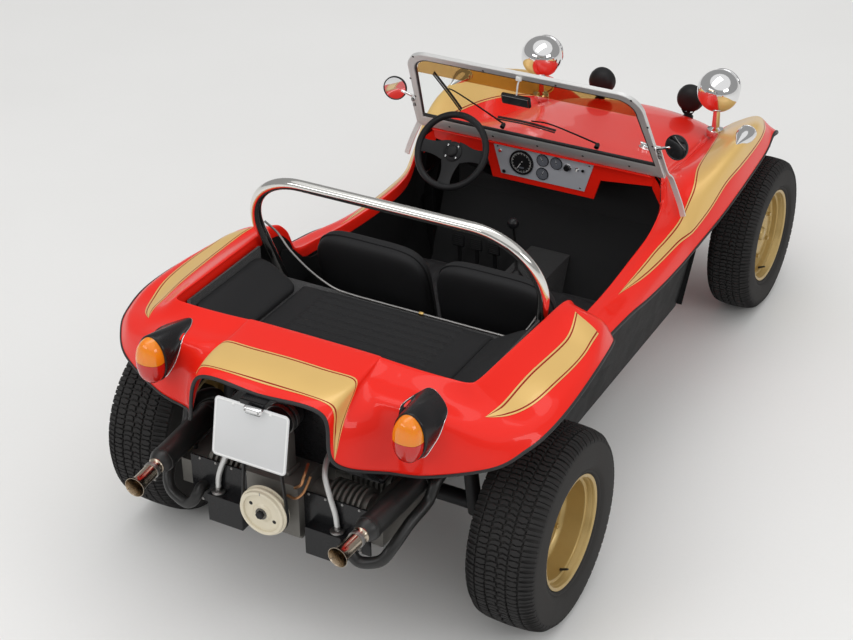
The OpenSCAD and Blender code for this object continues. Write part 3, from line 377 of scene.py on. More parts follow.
RED = finish("red_paint", (0.76, 0.012, 0.0045), (0.81, 0.016, 0.006), (0.34, 0.4), 3, 900, 0.006,
    Specular_IOR_Level=0.15, Coat_Weight=0.4, Coat_Roughness=0.02)
GOLD = finish("gold_paint", (0.70, 0.45, 0.14), (0.78, 0.51, 0.17), (0.3, 0.4), 4, 700, 0.01, Metallic=0.2,
    Coat_Weight=0.3, Coat_Roughness=0.06)
LINE = finish("stripe_line", (0.25, 0.010, 0.004), (0.31, 0.013, 0.006), (0.3, 0.4), 20,
    Specular_IOR_Level=0.2)
WHEEL_GOLD = finish("wheel_gold", (0.42, 0.29, 0.10), (0.54, 0.385, 0.15), (0.32, 0.45), 14, 500, 0.02,
    Metallic=0.55, Coat_Weight=0.3)
RUBBER = finish("edge_rubber", (0.010, 0.010, 0.011), (0.018, 0.018, 0.019), (0.45, 0.6), 30, 400, 0.05)
TYRE = finish("tyre_rubber", (0.014, 0.0137, 0.014), (0.036, 0.0345, 0.034), (0.75, 0.92), 9, 350, 0.15,
    Specular_IOR_Level=0.25)
TYRE_WALL = finish("tyre_wall", (0.016, 0.0155, 0.0155), (0.045, 0.042, 0.04), (0.7, 0.92), 6, 300, 0.12,
    Specular_IOR_Level=0.25)
VINYL = finish("black_vinyl", (0.010, 0.010, 0.011), (0.019, 0.019, 0.020), (0.55, 0.7), 8, 300, 0.25,
    grain=420, Specular_IOR_Level=0.22)
CARPET = finish("carpet", (0.006, 0.006, 0.007), (0.022, 0.022, 0.023), (0.9, 1.0), 30, 900, 0.7,
    Sheen_Weight=0.25)
TUB = finish("tub_black", (0.006, 0.006, 0.0065), (0.012, 0.012, 0.0125), (0.5, 0.7), 10, 500, 0.1,
    Specular_IOR_Level=0.2)
BLACK = finish("satin_black", (0.008, 0.008, 0.009), (0.016, 0.016, 0.017), (0.4, 0.55), 15, 500, 0.04,
    Specular_IOR_Level=0.25)
GLOSS_BLACK = finish("gloss_black", (0.007, 0.007, 0.008), (0.012, 0.012, 0.013), (0.2, 0.32), 10, 600, 0.01,
    Specular_IOR_Level=0.25, Coat_Weight=0.12)
CHROME = finish("chrome", (0.80, 0.80, 0.81), (0.88, 0.88, 0.88), (0.04, 0.09), 6, 700, 0.0, Metallic=1.0)
POLISHED = finish("polished_tube", (0.74, 0.73, 0.70), (0.85, 0.84, 0.81), (0.08, 0.17), 8, 600, 0.01,
    Metallic=1.0)
ALLOY = finish("brushed_alloy", (0.60, 0.60, 0.59), (0.72, 0.72, 0.71), (0.38, 0.5), 12, 600, 0.05,
    brushed=(8, 700, 700), Metallic=0.55)
PANEL = finish("dash_alloy", (0.46, 0.48, 0.52), (0.56, 0.58, 0.62), (0.35, 0.5), 12, 600, 0.06,
    brushed=(10, 900, 900), Metallic=0.3)
CASTING = finish("cast_alloy", (0.11, 0.105, 0.095), (0.27, 0.26, 0.24), (0.5, 0.75), 14, 300, 0.25,
    Metallic=0.7)
STEEL = finish("dull_steel", (0.2, 0.195, 0.19), (0.42, 0.41, 0.4), (0.3, 0.5), 25, 500, 0.05, Metallic=1.0)
CREAM = finish("cream_paint", (0.64, 0.57, 0.42), (0.74, 0.68, 0.54), (0.3, 0.45), 15, 500, 0.02,
    Coat_Weight=0.3)
PLATE_GREY = finish("plate_grey", (0.62, 0.625, 0.63), (0.66, 0.665, 0.67), (0.4, 0.5), 10, 600, 0.01)
PLATE_WHITE = finish("plate_white", (0.78, 0.78, 0.77), (0.84, 0.84, 0.83), (0.35, 0.45), 10, 600, 0.01)
AMBER = finish("amber_lens", (0.76, 0.20, 0.004), (0.86, 0.26, 0.007), (0.12, 0.2), 10, 400, 0.0,
    Coat_Weight=0.4, Subsurface_Weight=0.2)
RED_LENS = finish("red_lens", (0.46, 0.008, 0.005), (0.56, 0.012, 0.007), (0.12, 0.2), 10, 400, 0.0,
    Coat_Weight=0.4)
DIAL = finish("dial_black", (0.006, 0.006, 0.007), (0.010, 0.010, 0.011), (0.3, 0.45), 20, 500, 0.0)
DIAL_GREY = finish("dial_grey", (0.10, 0.11, 0.13), (0.14, 0.15, 0.17), (0.3, 0.45), 20, 500, 0.0)
WHITE = finish("white_mark", (0.72, 0.72, 0.70), (0.8, 0.8, 0.78), (0.4, 0.5), 20)
BRASS = finish("brass", (0.55, 0.36, 0.12), (0.68, 0.47, 0.18), (0.2, 0.35), 30, Metallic=1.0)
HOSE = finish("hose_silver", (0.58, 0.58, 0.57), (0.7, 0.7, 0.69), (0.35, 0.5), 20, 500, 0.03, Metallic=0.55)
COPPER = finish("copper", (0.42, 0.2, 0.09), (0.58, 0.3, 0.15), (0.25, 0.4), 30, Metallic=1.0)
TIP = finish("exhaust_tip", (0.40, 0.33, 0.25), (0.62, 0.54, 0.44), (0.14, 0.28), 25, 500, 0.01,
    Metallic=1.0)
EXHAUST_BLACK = finish("exhaust_black", (0.007, 0.007, 0.007), (0.016, 0.0155, 0.015), (0.3, 0.48), 18, 400,
    0.06)
MIRROR = finish("mirror_glass", (0.82, 0.83, 0.84), (0.86, 0.87, 0.88), (0.01, 0.03), 5, Metallic=1.0)


def clear_sheet(name, tint, rough=0.0):
    """A clear or tinted sheet of glass or film."""
    mat = bpy.data.materials.new(name)
    mat.use_nodes = True
    shader = mat.node_tree.nodes["Principled BSDF"]
    for k, v in (("Base Color", rgba(tint)), ("Roughness", rough),
        ("Transmission Weight", 1.0), ("IOR", 1.1)):
        shader.inputs[k].default_value = v
    return mat


GLASS = clear_sheet("screen_glass", (0.97, 0.99, 0.98))
SUN_STRIP = clear_sheet("sun_strip", (0.55, 0.33, 0.12))
LAMP_GLASS = clear_sheet("lamp_glass", (0.95, 0.96, 0.96), 0.05)


# Camera, light and floor

def set_camera():
    """The camera as solved from the photograph."""
    right = (-0.878258972, -0.478134703, -0.006955790)
    up = (0.239525690, -0.452468073, 0.859011110)
    back = (-0.413870295, 0.752768124, 0.511909690)
    spot = (-2.69467, REAR_AXLE + 4.37936, 4.02526)
    cam = bpy.data.cameras.new("camera")
    cam.sensor_width, cam.sensor_fit, cam.lens = 36.0, "HORIZONTAL", 73.89
    obj = new_object("camera", cam)
    obj.matrix_world = Matrix([[right[k], up[k], back[k], spot[k]] for k in range(3)] + [[0, 0, 0, 1]])
    bpy.context.scene.camera = obj


def soft_box(name, spot, aim, size, watts):
    lamp = bpy.data.lights.new(name, "AREA")
    lamp.shape, lamp.size, lamp.size_y, lamp.energy = "RECTANGLE", size[0], size[1], watts
    obj = new_object(name, lamp)
    obj.location = spot
    obj.rotation_euler = (Vector(aim) - Vector(spot)).to_track_quat("-Z", "Y").to_euler()


# Strength of the sky as it lights the part, as the camera sees it, and in glossy reflections
SKY_LIGHT, SKY_SEEN, SKY_GLOSS = 0.62, 0.80, 0.34
FLOOR_HALF = 40.0


def set_stage():
    scene = bpy.context.scene
    scene.view_settings.view_transform = "Standard"
    world = bpy.data.worlds.new("studio")
    scene.world = world
    world.use_nodes = True
    tree = world.node_tree
    sky = tree.nodes["Background"]
    sky.inputs["Color"].default_value = (0.97, 0.97, 0.965, 1)
    rays = tree.nodes.new("ShaderNodeLightPath")
    seen = add_node(tree, "ShaderNodeMix", {2: SKY_LIGHT, 3: SKY_SEEN})
    shone = add_node(tree, "ShaderNodeMix", {3: SKY_GLOSS})
    links(tree, (rays.outputs["Is Camera Ray"], seen.inputs[0]),
        (rays.outputs["Is Glossy Ray"], shone.inputs[0]),
        (seen.outputs[0], shone.inputs[2]),
        (shone.outputs[0], sky.inputs["Strength"]))
    even = bpy.data.lights.new("even_light", "SUN")
    even.energy, even.angle = 0.95, math.radians(100)
    new_object("even_light", even).rotation_euler = (math.radians(-12), math.radians(-10), 0)
    soft_box("soft_top", (0.3, 0.6, 5.5), (0, 0, 0), (2.2, 6.0), 55)
    soft_box("soft_side", (-5.5, 1.5, 3.2), (0, 0, 0.5), (3.0, 1.2), 40)
    soft_box("soft_back", (2.5, 5.5, 3.4), (0, 0.8, 0.5), (4.0, 1.0), 40)
    floor_mat = finish("pale_floor", (0.76, 0.757, 0.745), (0.81, 0.807, 0.80), (0.6, 0.75), 0.8, 60, 0.0,
        Specular_IOR_Level=0.2)
    corners = np.array([[-1, -1, 0], [1, -1, 0], [1, 1, 0], [-1, 1, 0]]) * FLOOR_HALF
    floor = new_object("floor", raw_mesh("floor", [(corners, [(0, 1, 2, 3)])]))
    floor.data.materials.append(floor_mat)


set_camera()
set_stage()


# Body skin: the same table of sections as the part's source, from the nose to the middle of the tail
# Columns: bonnet centre v, z; rim or valley x, v, z; wing crest x, v, z; wing edge x, v, z

SECTIONS = np.array([
    [-2899, 440, 250, -2830, 470, 470, -2740, 595, 590, -2680, 640],
    [-2890, 520, 270, -2810, 540, 480, -2745, 675, 605, -2630, 695],
    [-2830, 620, 310, -2740, 625, 515, -2690, 755, 655, -2560, 765],
    [-2700, 705, 350, -2620, 690, 550, -2590, 810, 675, -2480, 810],
    [-2520, 780, 390, -2480, 740, 585, -2465, 860, 690, -2390, 830],
    [-2250, 850, 425, -2250, 790, 655, -2185, 948, 707, -2245, 807],
    [-1950, 920, 455, -1950, 840, 662, -1890, 946, 716, -1945, 780],
    [-1720, 975, 490, -1720, 900, 645, -1700, 895, 700, -1755, 730],
    [-1510, 1020, 535, -1510, 960, 610, -1555, 827, 672, -1595, 677],
    [0, 0, 548, -1450, 880, 595, -1490, 787, 663, -1520, 660],
    [0, 0, 541, -1340, 800, 588, -1405, 765, 664, -1425, 660],
    [0, 0, 545, -1140, 782, 590, -1210, 755, 668, -1235, 673],
    [0, 0, 560, -900, 785, 598, -990, 760, 676, -1025, 703],
    [0, 0, 575, -700, 805, 610, -800, 775, 688, -835, 746],
    [0, 0, 582, -560, 830, 632, -565, 812, 702, -590, 782],
    [0, 0, 588, -505, 930, 640, -510, 890, 738, -520, 825],
    [0, 0, 592, -420, 985, 660, -410, 978, 781, -440, 862],
    [0, 0, 590, -200, 996, 727, -230, 950, 823, -210, 899],
    [0, 0, 583, 50, 1003, 732, 5, 947, 840, 30, 900],
    [0, 0, 578, 190, 1007, 720, 145, 933, 826, 180, 878],
    [0, 0, 560, 228, 1010, 690, 255, 935, 792, 270, 852],
    [0, 0, 500, 236, 1012, 630, 335, 935, 715, 350, 806],
    [0, 0, 420, 240, 1016, 500, 395, 975, 530, 425, 760],
    [0, 0, 340, 242, 1020, 355, 415, 985, 400, 440, 738],
    [0, 0, 262, 244, 1026, 272, 405, 996, 278, 586, 828],
    [0, 0, 225, 245, 1030, 234, 480, 1026, 232, 580, 996],
    [0, 0, 0, 246, 1032, 0, 480, 1032, 0, 584, 1000]], float)
COWL, LAST, RIM_COL, EDGE_COL = 8, 26, 4, 10
FLANGE = 42
SHELL = 0.005


def control_points():
    """Control points of the left half: one row a section, eleven columns from the middle out."""
    table = np.zeros((len(SECTIONS), EDGE_COL + 1, 3))
    for s, q in enumerate(SECTIONS):
        rim, crest, edge = q[2:5], q[5:8], q[8:11]
        for c, w in enumerate((0, 0.42, 0.74, 0.92)):
            table[s, c] = (rim[0] * w, q[0] + (rim[1] - q[0]) * w ** 2,
                rim[2] + (q[1] - rim[2]) * (1 - w ** 2.4) ** 0.8)
        d = np.append(unit(rim[:2] - crest[:2]), 0)
        f = 0 if s <= COWL else 0.6 if s == COWL + 1 else 1
        table[s, 4] = rim + d * (16 - 12 * f) - [0, 0, f * FLANGE]
        table[s, 5] = rim + d * (6 - 6 * f) - [0, 0, f * 9]
        table[s, 6] = rim - d * 10 + [0, 0, f * 2]
        table[s, 7] = np.append((rim[:2] + crest[:2]) / 2, rim[2] + (crest[2] - rim[2]) * 0.56)
        table[s, 8] = crest
        table[s, 9] = np.append(crest[:2] + (edge[:2] - crest[:2]) * 0.66,
            edge[2] + (crest[2] - edge[2]) * 0.62)
        table[s, 10] = edge
    return table


def spread(table, first_col):
    """The control table continued by one row or more, and one column, past its ends."""
    rows = np.concatenate([2 * table[:1] - table[1:2], table, flip(table[LAST - 1:LAST - 3:-1])])
    if first_col == 0:
        rows[COWL + 2, :RIM_COL] = 2 * table[COWL, :RIM_COL] - table[COWL - 1, :RIM_COL]
    before = flip(rows[:, 1:2]) if first_col == 0 else 2 * rows[:, RIM_COL:RIM_COL + 1] - rows[:,
        RIM_COL + 1:RIM_COL + 2]
    after = 2 * rows[:, -1:] - rows[:, -2:-1]
    return np.concatenate([before, rows[:, first_col:], after], 1)


CONTROL = control_points()
FRONT_TABLE, REAR_TABLE = spread(CONTROL, 0), spread(CONTROL, RIM_COL)


def skin_mm(s, c):
    """Places on the skin in millimetres, by section and column."""
    s, c = np.broadcast_arrays(np.asarray(s, float), np.asarray(c, float))
    out = np.zeros(s.shape + (3,))
    for zone, table, lo, hi in ((s <= COWL, FRONT_TABLE, 0, COWL), (s > COWL, REAR_TABLE, RIM_COL, LAST)):
        i = np.clip(np.floor(s[zone]), 0, hi - 1).astype(int)
        j = np.clip(np.floor(c[zone]), lo, EDGE_COL - 1).astype(int)
        t, u = (s[zone] - i)[:, None], (c[zone] - j)[:, None]
        cols = [blend4(*[table[i + a, j - lo + b] for a in range(4)], t) for b in range(4)]
        out[zone] = blend4(*cols, u)
    return out


def skin(s, c, lift=0.0, side=1):
    """Points on the body's outer skin by section and column, lifted off it; side 1 is left, -1 right."""
    step = 0.02
    s, c = np.broadcast_arrays(np.asarray(s, float), np.asarray(c, float))
    p = at(skin_mm(s, c))
    if lift:
        low = np.where(s > COWL, RIM_COL, 0)
        along = skin_mm(np.clip(s + step, 0, LAST), c) - skin_mm(np.clip(s - step, 0, LAST), c)
        across = skin_mm(s, np.clip(c + step, low, EDGE_COL)) - skin_mm(s, np.clip(c - step, low, EDGE_COL))
        p = p + lift * unit(np.cross(across, along))
    return p * [side, 1, 1]


def make_body():
    """The moulded shell, as a fine skin with a wall."""
    rows, cols = 14, 9
    s = np.arange(LAST * rows + 1) / rows
    c = np.arange(EDGE_COL * cols + 1) / cols
    shapes = []
    for side in (1, -1):
        front = skin(s[:COWL * rows + 1, None], c[None], 0, side)
        wing = np.concatenate([front[-1:, RIM_COL * cols:],
            skin(s[COWL * rows + 1:, None], c[None, RIM_COL * cols:], 0, side)])
        shapes += [surface(front), surface(wing)]
    obj = new_object("body_skin", raw_mesh("body_skin", shapes, 50, 2e-5))
    wall = obj.modifiers.new("wall", "SOLIDIFY")
    wall.thickness, wall.offset = SHELL, -1
    applied(obj)
    return settle(obj, [RED], stands_for=["body_shell"])


def body_trim():
    """Black rubber along the lower edge of the whole body."""
    s = np.linspace(LAST, 0, 420)
    c = np.linspace(EDGE_COL, 0, 60)
    left = np.concatenate([skin(s, EDGE_COL, -0.003), skin(0.0, c, -0.003)[1:]])
    right = flip(left)[::-1]
    loop = np.concatenate([left[:-1], right[:-1]])
    keep = np.concatenate([[True], np.linalg.norm(np.diff(loop, axis=0), axis=1) > 0.002])
    piece("edge_trim", [tube(loop[keep], 0.0065, 10, True)], [RUBBER])


STRIPE_LIFT, STRIPE_BORDER, STRIPE_LINE, STRIPE_STATIONS, STRIPE_CELLS = 0.0016, 0.006, 0.0058, 170, 26


def stripe(inner, outer, side):
    """A gold field between two edges on the skin, with a dark line and a gold line along its border."""
    a = even_line(smooth_line(inner, 12), STRIPE_STATIONS)
    b = even_line(smooth_line(outer, 12), STRIPE_STATIONS)
    across = np.linspace(0, 1, 60)
    shapes = []
    share = np.zeros((STRIPE_STATIONS, STRIPE_CELLS + 5))
    for i in range(STRIPE_STATIONS):
        run = a[i] + (b[i] - a[i]) * across[:, None]
        p = skin(run[:, 0], run[:, 1])
        d = np.concatenate([[0], np.cumsum(np.linalg.norm(np.diff(p, axis=0), axis=1))])
        width = max(d[-1], 1e-6)
        k = min(1.0, width / (4 * (STRIPE_BORDER + STRIPE_LINE)))
        marks = np.concatenate([[0, STRIPE_BORDER * k], np.linspace((STRIPE_BORDER + STRIPE_LINE) * k,
            width - (STRIPE_BORDER + STRIPE_LINE) * k, STRIPE_CELLS + 1),
            [width - STRIPE_BORDER * k, width]])
        share[i] = np.interp(marks, d, across)
    s = a[:, :1] + (b[:, :1] - a[:, :1]) * share
    c = a[:, 1:] + (b[:, 1:] - a[:, 1:]) * share
    points = skin(s, c, STRIPE_LIFT, side)
    low = skin(s, c, 0.00005, side)
    for j in range(points.shape[1] - 1):
        index = 1 if j in (1, points.shape[1] - 3) else 0
        shapes.append(surface(points[:, j:j + 2]) + (index,))
    rim = lambda t, u: surface(np.stack([t, u], 1))
    shapes += [rim(points[:, 0], low[:, 0]), rim(points[:, -1], low[:, -1]), rim(points[0], low[0]),
        rim(points[-1], low[-1])]
    return shapes


def body_stripes():
    front_in = [(3.05, 7.55), (3.1, 7.05), (3.5, 6.62), (4.38, 6.4), (5.79, 6.83), (6.67, 7.05),
        (7.54, 7.67), (8.38, 8.05), (9.96, 8.04), (10.62, 7.95), (11.75, 7.96), (12.42, 7.98)]
    front_out = [(3.05, 7.55), (3.2, 8.05), (3.75, 8.5), (4.83, 9.02), (5.33, 9.15), (5.96, 9.12),
        (6.67, 9.02), (7.54, 9.22), (8.46, 9.21), (9.67, 8.92), (11.42, 8.6), (12.42, 7.98)]
    rear_in = [(16.2, 7.75), (17.38, 7.33), (18.5, 7.25), (19.5, 7.42), (20.42, 7.71)]
    rear_out = [(16.42, 8.96), (16.92, 8.7), (17.75, 8.5), (18.88, 8.29), (19.79, 8.05), (20.42, 7.71)]
    hump_top = [(26, 7.25), (25.5, 7.25), (24.95, 7.25), (24.58, 7.62), (24.25, 8.25), (24.05, 8.9),
        (24.02, 9.5), (24.04, 9.95)]
    hump_low = [(26, 9.0), (25.4, 9.0), (24.96, 9.02), (24.62, 9.18), (24.4, 9.38), (24.2, 9.62),
        (24.1, 9.8), (24.04, 9.95)]
    for name, side in SIDES:
        piece("stripe_hump_" + name, stripe(hump_top, hump_low, side), [GOLD, LINE])
        piece("stripe_front_" + name, stripe(front_in, front_out, side), [GOLD, LINE])
        piece("stripe_rear_" + name, stripe(rear_in, rear_out, side), [GOLD, LINE])


make_body()
body_trim()
body_stripes()


# Trees for copies in a ring or a row and for pipes along lines, and shapes made with them

def start_tree(name, inputs):
    tree = bpy.data.node_groups.new(name, "GeometryNodeTree")
    for n, kind in [("Geometry", "Geometry"), *inputs, ("Finish", "Material")]:
        tree.interface.new_socket(n, in_out="INPUT", socket_type="NodeSocket" + kind)
    tree.interface.new_socket("Geometry", in_out="OUTPUT", socket_type="NodeSocketGeometry")
    return tree, tree.nodes.new("NodeGroupInput"), tree.nodes.new("NodeGroupOutput")


def end_tree(tree, i, o, geometry):
    real = tree.nodes.new("GeometryNodeRealizeInstances")
    paint = tree.nodes.new("GeometryNodeSetMaterial")
    links(tree, (geometry, real.inputs[0]),
        (real.outputs[0], paint.inputs["Geometry"]),
        (i.outputs["Finish"], paint.inputs["Material"]),
        (paint.outputs[0], o.inputs[0]))
    return tree


def make_ring_tree():
    """Copies of a shape set round the X axis."""
    tree, i, o = start_tree("ring_of_copies", [("Count", "Int")])
    points = tree.nodes.new("GeometryNodePoints")
    copies = tree.nodes.new("GeometryNodeInstanceOnPoints")
    number = tree.nodes.new("GeometryNodeInputIndex")
    turn = add_node(tree, "ShaderNodeMath", {1: TAU}, operation="MULTIPLY")
    share = add_node(tree, "ShaderNodeMath", operation="DIVIDE")
    angle = tree.nodes.new("ShaderNodeCombineXYZ")
    links(tree, (i.outputs["Count"], points.inputs["Count"]),
        (points.outputs[0], copies.inputs["Points"]),
        (i.outputs["Geometry"], copies.inputs["Instance"]),
        (number.outputs[0], turn.inputs[0]),
        (turn.outputs[0], share.inputs[0]),
        (i.outputs["Count"], share.inputs[1]),
        (share.outputs[0], angle.inputs[0]),
        (angle.outputs[0], copies.inputs["Rotation"]))
    return end_tree(tree, i, o, copies.outputs[0])


def make_row_tree():
    """Copies of a shape in a straight row, one step apart."""
    tree, i, o = start_tree("row_of_copies", [("Count", "Int"), ("Step", "Vector")])
    row = add_node(tree, "GeometryNodeMeshLine", mode="OFFSET")
    copies = tree.nodes.new("GeometryNodeInstanceOnPoints")
    links(tree, (i.outputs["Count"], row.inputs["Count"]),
        (i.outputs["Step"], row.inputs["Offset"]),
        (row.outputs[0], copies.inputs["Points"]),
        (i.outputs["Geometry"], copies.inputs["Instance"]))
    return end_tree(tree, i, o, copies.outputs[0])


def make_pipe_tree():
    """Round pipes along the lines of a wire mesh, with closed ends."""
    tree, i, o = start_tree("pipe_along_lines", [("Radius", "Float"), ("Sides", "Int")])
    line = tree.nodes.new("GeometryNodeMeshToCurve")
    ring = tree.nodes.new("GeometryNodeCurvePrimitiveCircle")
    skin_of = add_node(tree, "GeometryNodeCurveToMesh", {"Fill Caps": True})
    smooth = tree.nodes.new("GeometryNodeSetShadeSmooth")
    links(tree, (i.outputs["Geometry"], line.inputs[0]),
        (i.outputs["Radius"], ring.inputs["Radius"]),
        (i.outputs["Sides"], ring.inputs["Resolution"]),
        (line.outputs[0], skin_of.inputs["Curve"]),
        (ring.outputs[0], skin_of.inputs["Profile Curve"]),
        (skin_of.outputs[0], smooth.inputs[0]))
    return end_tree(tree, i, o, smooth.outputs[0])


RING_TREE, ROW_TREE, PIPE_TREE = make_ring_tree(), make_row_tree(), make_pipe_tree()


def grown(obj, tree, **values):
    """The object as a tree makes it, with the tree's inputs set by their identifiers."""
    m = obj.modifiers.new("tree", "NODES")
    m.node_group = tree
    ids = {s.name: s.identifier for s in tree.interface.items_tree if s.in_out == "INPUT"}
    for k, v in values.items():
        m[ids[k]] = v
    return applied(obj)


def ring_of(name, shapes, count, material):
    return grown(new_object(name, raw_mesh(name, shapes, 30)), RING_TREE, Count=count, Finish=material)


def row_of(name, shapes, count, step, material):
    return grown(new_object(name, raw_mesh(name, shapes, 30)), ROW_TREE, Count=count, Step=tuple(step),
        Finish=material)


def pipes(name, lines, radius, material, sides=20, closed=False, body="chassis", stands_for=()):
    """Pipes of one radius along lines of points, given in metres."""
    mesh = bpy.data.meshes.new(name)
    points, edges = [], []
    for line in lines:
        n = len(points)
        points += [tuple(p) for p in line]
        edges += [(k, k + 1) for k in range(n, len(points) - 1)] + ([(len(points) - 1, n)] if closed else [])
    mesh.from_pydata(points, edges, [])
    obj = grown(new_object(name, mesh), PIPE_TREE, Radius=radius, Sides=sides, Finish=material)
    obj.data.set_sharp_from_angle(angle=math.radians(40))
    return settle(obj, [], body, stands_for)


def bar(path, side, width, thick, bevel=0.15):
    """A flat bar along a path; side is the direction of its width, which may change along it."""
    path = np.asarray(path, float)
    n = len(path)
    ways = unit(np.gradient(path, axis=0))
    across = unit(np.broadcast_to(np.asarray(side, float), (n, 3)))
    across = unit(across - ways * (across * ways).sum(1, keepdims=True))
    up = np.cross(ways, across)
    w = np.broadcast_to(np.asarray(width, float) / 2, (n,))[:, None, None]
    t = np.broadcast_to(np.asarray(thick, float) / 2, (n,))[:, None, None]
    b = bevel
    ring = np.array([(1, 1 - b), (1 - b * 0.3, 1), (b * 0.3 - 1, 1), (-1, 1 - b), (-1, b - 1),
        (b * 0.3 - 1, -1), (1 - b * 0.3, -1), (1, b - 1)])
    rows = path[:, None] + w * ring[None, :, :1] * across[:, None] + t * ring[None, :, 1:] * up[:, None]
    points, faces = surface(rows, False, True)
    m = len(ring)
    return points, faces + [tuple(range(m)), tuple(range((n - 1) * m, n * m))]


def solid_sheet(top, low):
    """A closed thin sheet between two grids of points."""
    rim = lambda a, b: surface(np.stack([a, b], 1))
    return [surface(top), surface(low), rim(top[0], low[0]), rim(top[-1], low[-1]),
        rim(top[:, 0], low[:, 0]), rim(top[:, -1], low[:, -1])]


def ring_line(centre, a, b, ra, rb, count=64):
    """Points of an ellipse with half axes ra and rb along the directions a and b."""
    t = np.arange(count)[:, None] * TAU / count
    return np.asarray(centre) + ra * np.cos(t) * np.asarray(a, float) + rb * np.sin(t) * np.asarray(b, float)


def loft(rings):
    """A closed form through rings of points, with flat ends."""
    rings = np.asarray(rings, float)
    n, m = rings.shape[:2]
    points, faces = surface(rings, False, True)
    return points, faces + [tuple(range(m)), tuple(range((n - 1) * m, n * m))]


# Wheels

FRONT_AXLE_V = -2400
WHEELS = {"front": dict(track=1275, v=FRONT_AXLE_V, d=686, w=197, rim_w=165, dish=60, pitches=62),
    "rear": dict(track=1463, v=0, d=726, w=255, rim_w=227, dish=115, pitches=60)}
RIM_D, TREAD_DEPTH = 415, 9.0
STUD_R, STUDS = 0.1025, 5


def tyre_crown(w, d, u):
    """Place across and radius in mm, on the tread from its middle (u = 0) round the shoulder (u = 1)."""
    share = [0, 0.35, 0.62, 0.8, 0.9, 0.96, 1.0]
    x = np.interp(np.abs(u), share, np.array([0, 0.32, 0.60, 0.79, 0.90, 0.955, 0.985]) * w / 2)
    drop = np.interp(np.abs(u), share, [0, 1.2, 4.0, 9.0, 17.0, 26.0, 36.0])
    return np.sign(u) * x, d / 2 - drop


def tread_block(w, d, corners, pitch):
    """A raised block with slanted walls; its corners are shares of the half section and of one pitch."""
    corners = np.array(corners, float)
    middle = corners.mean(0)
    rings = []
    for sink, grow in ((TREAD_DEPTH + 1.0, 1.06), (1.2, 1.0), (0.0, 0.93)):
        q = middle + (corners - middle) * grow
        x, r = tyre_crown(w, d, np.clip(q[:, 0], -1, 1))
        a = q[:, 1] * pitch
        rings.append(np.stack([x, (r - sink) * np.sin(a), (r - sink) * np.cos(a)], 1))
    n = len(corners)
    points, faces = surface(np.array(rings), False, True)
    return points, faces + [tuple(range(2 * n, 3 * n))]


def quad_block(u0, u1, a0, a1):
    """Corners of a shoulder block, with one more point in the middle of its long edges."""
    m = (u0 + u1) / 2
    return [(u0, a0), (m, a0), (u1, a0), (u1, a1), (m, a1), (u0, a1)]


TREAD = [quad_block(0.66, 0.985, 0.06, 0.44), quad_block(0.66, 0.985, 0.49, 0.86),
    quad_block(-0.985, -0.66, 0.26, 0.64), quad_block(-0.985, -0.66, 0.69, 1.06),
    [(0.35, 0.10), (0.50, 0.02), (0.62, 0.18), (0.60, 0.50), (0.46, 0.56), (0.36, 0.42)],
    [(0.37, 0.60), (0.47, 0.68), (0.60, 0.60), (0.61, 0.86), (0.50, 0.93), (0.36, 0.88)],
    [(-0.35, 0.42), (-0.50, 0.34), (-0.62, 0.50), (-0.60, 0.80), (-0.46, 0.88), (-0.36, 0.74)],
    [(-0.37, -0.08), (-0.47, 0.0), (-0.60, -0.08), (-0.61, 0.20), (-0.50, 0.27), (-0.36, 0.2)],
    [(-0.02, 0.05), (0.14, 0.0), (0.30, 0.16), (0.29, 0.40), (0.12, 0.34), (-0.01, 0.40)],
    [(0.05, 0.50), (0.17, 0.44), (0.30, 0.56), (0.29, 0.90), (0.15, 0.82), (0.04, 0.88)],
    [(-0.30, 0.56), (-0.14, 0.42), (-0.03, 0.52), (-0.04, 0.86), (-0.16, 0.80), (-0.29, 0.92)],
    [(-0.30, 0.10), (-0.17, -0.02), (-0.08, 0.08), (-0.08, 0.32), (-0.18, 0.28), (-0.29, 0.44)]]


def carcass(w, d, rim_w):
    """Tyre wall and tread base: half section from the bead to the middle, in mm."""
    u = np.linspace(1.0, 0.0, 16)
    x, r = tyre_crown(w, d, u)
    bead = RIM_D / 2
    wall = [(rim_w / 2 - 14, bead - 12), (rim_w / 2 - 5, bead + 1), (rim_w / 2 + 2, bead + 5),
        (rim_w / 2 + 5, bead + 9), (rim_w / 2 + 5.5, bead + 14), (rim_w / 2 + 4, bead + 17)]
    top = r[0] - 6
    for t in np.linspace(0.12, 1, 9):
        bulge = math.sin(math.pi * min(1, t * 0.88 + 0.08)) ** 0.7
        share = 0.35 + 0.65 * bulge if t < 0.62 else max(bulge, 0.0) * 0.3 + 0.7
        wall.append((rim_w / 2 + 4 + (w / 2 - rim_w / 2 - 4) * share, bead + 17 + (top - bead - 17) * t))
    half = wall + [(a, b - TREAD_DEPTH) for a, b in zip(x[1:], r[1:])]
    return [(r, x) for x, r in half] + [(r, -x) for x, r in half[-2::-1]]


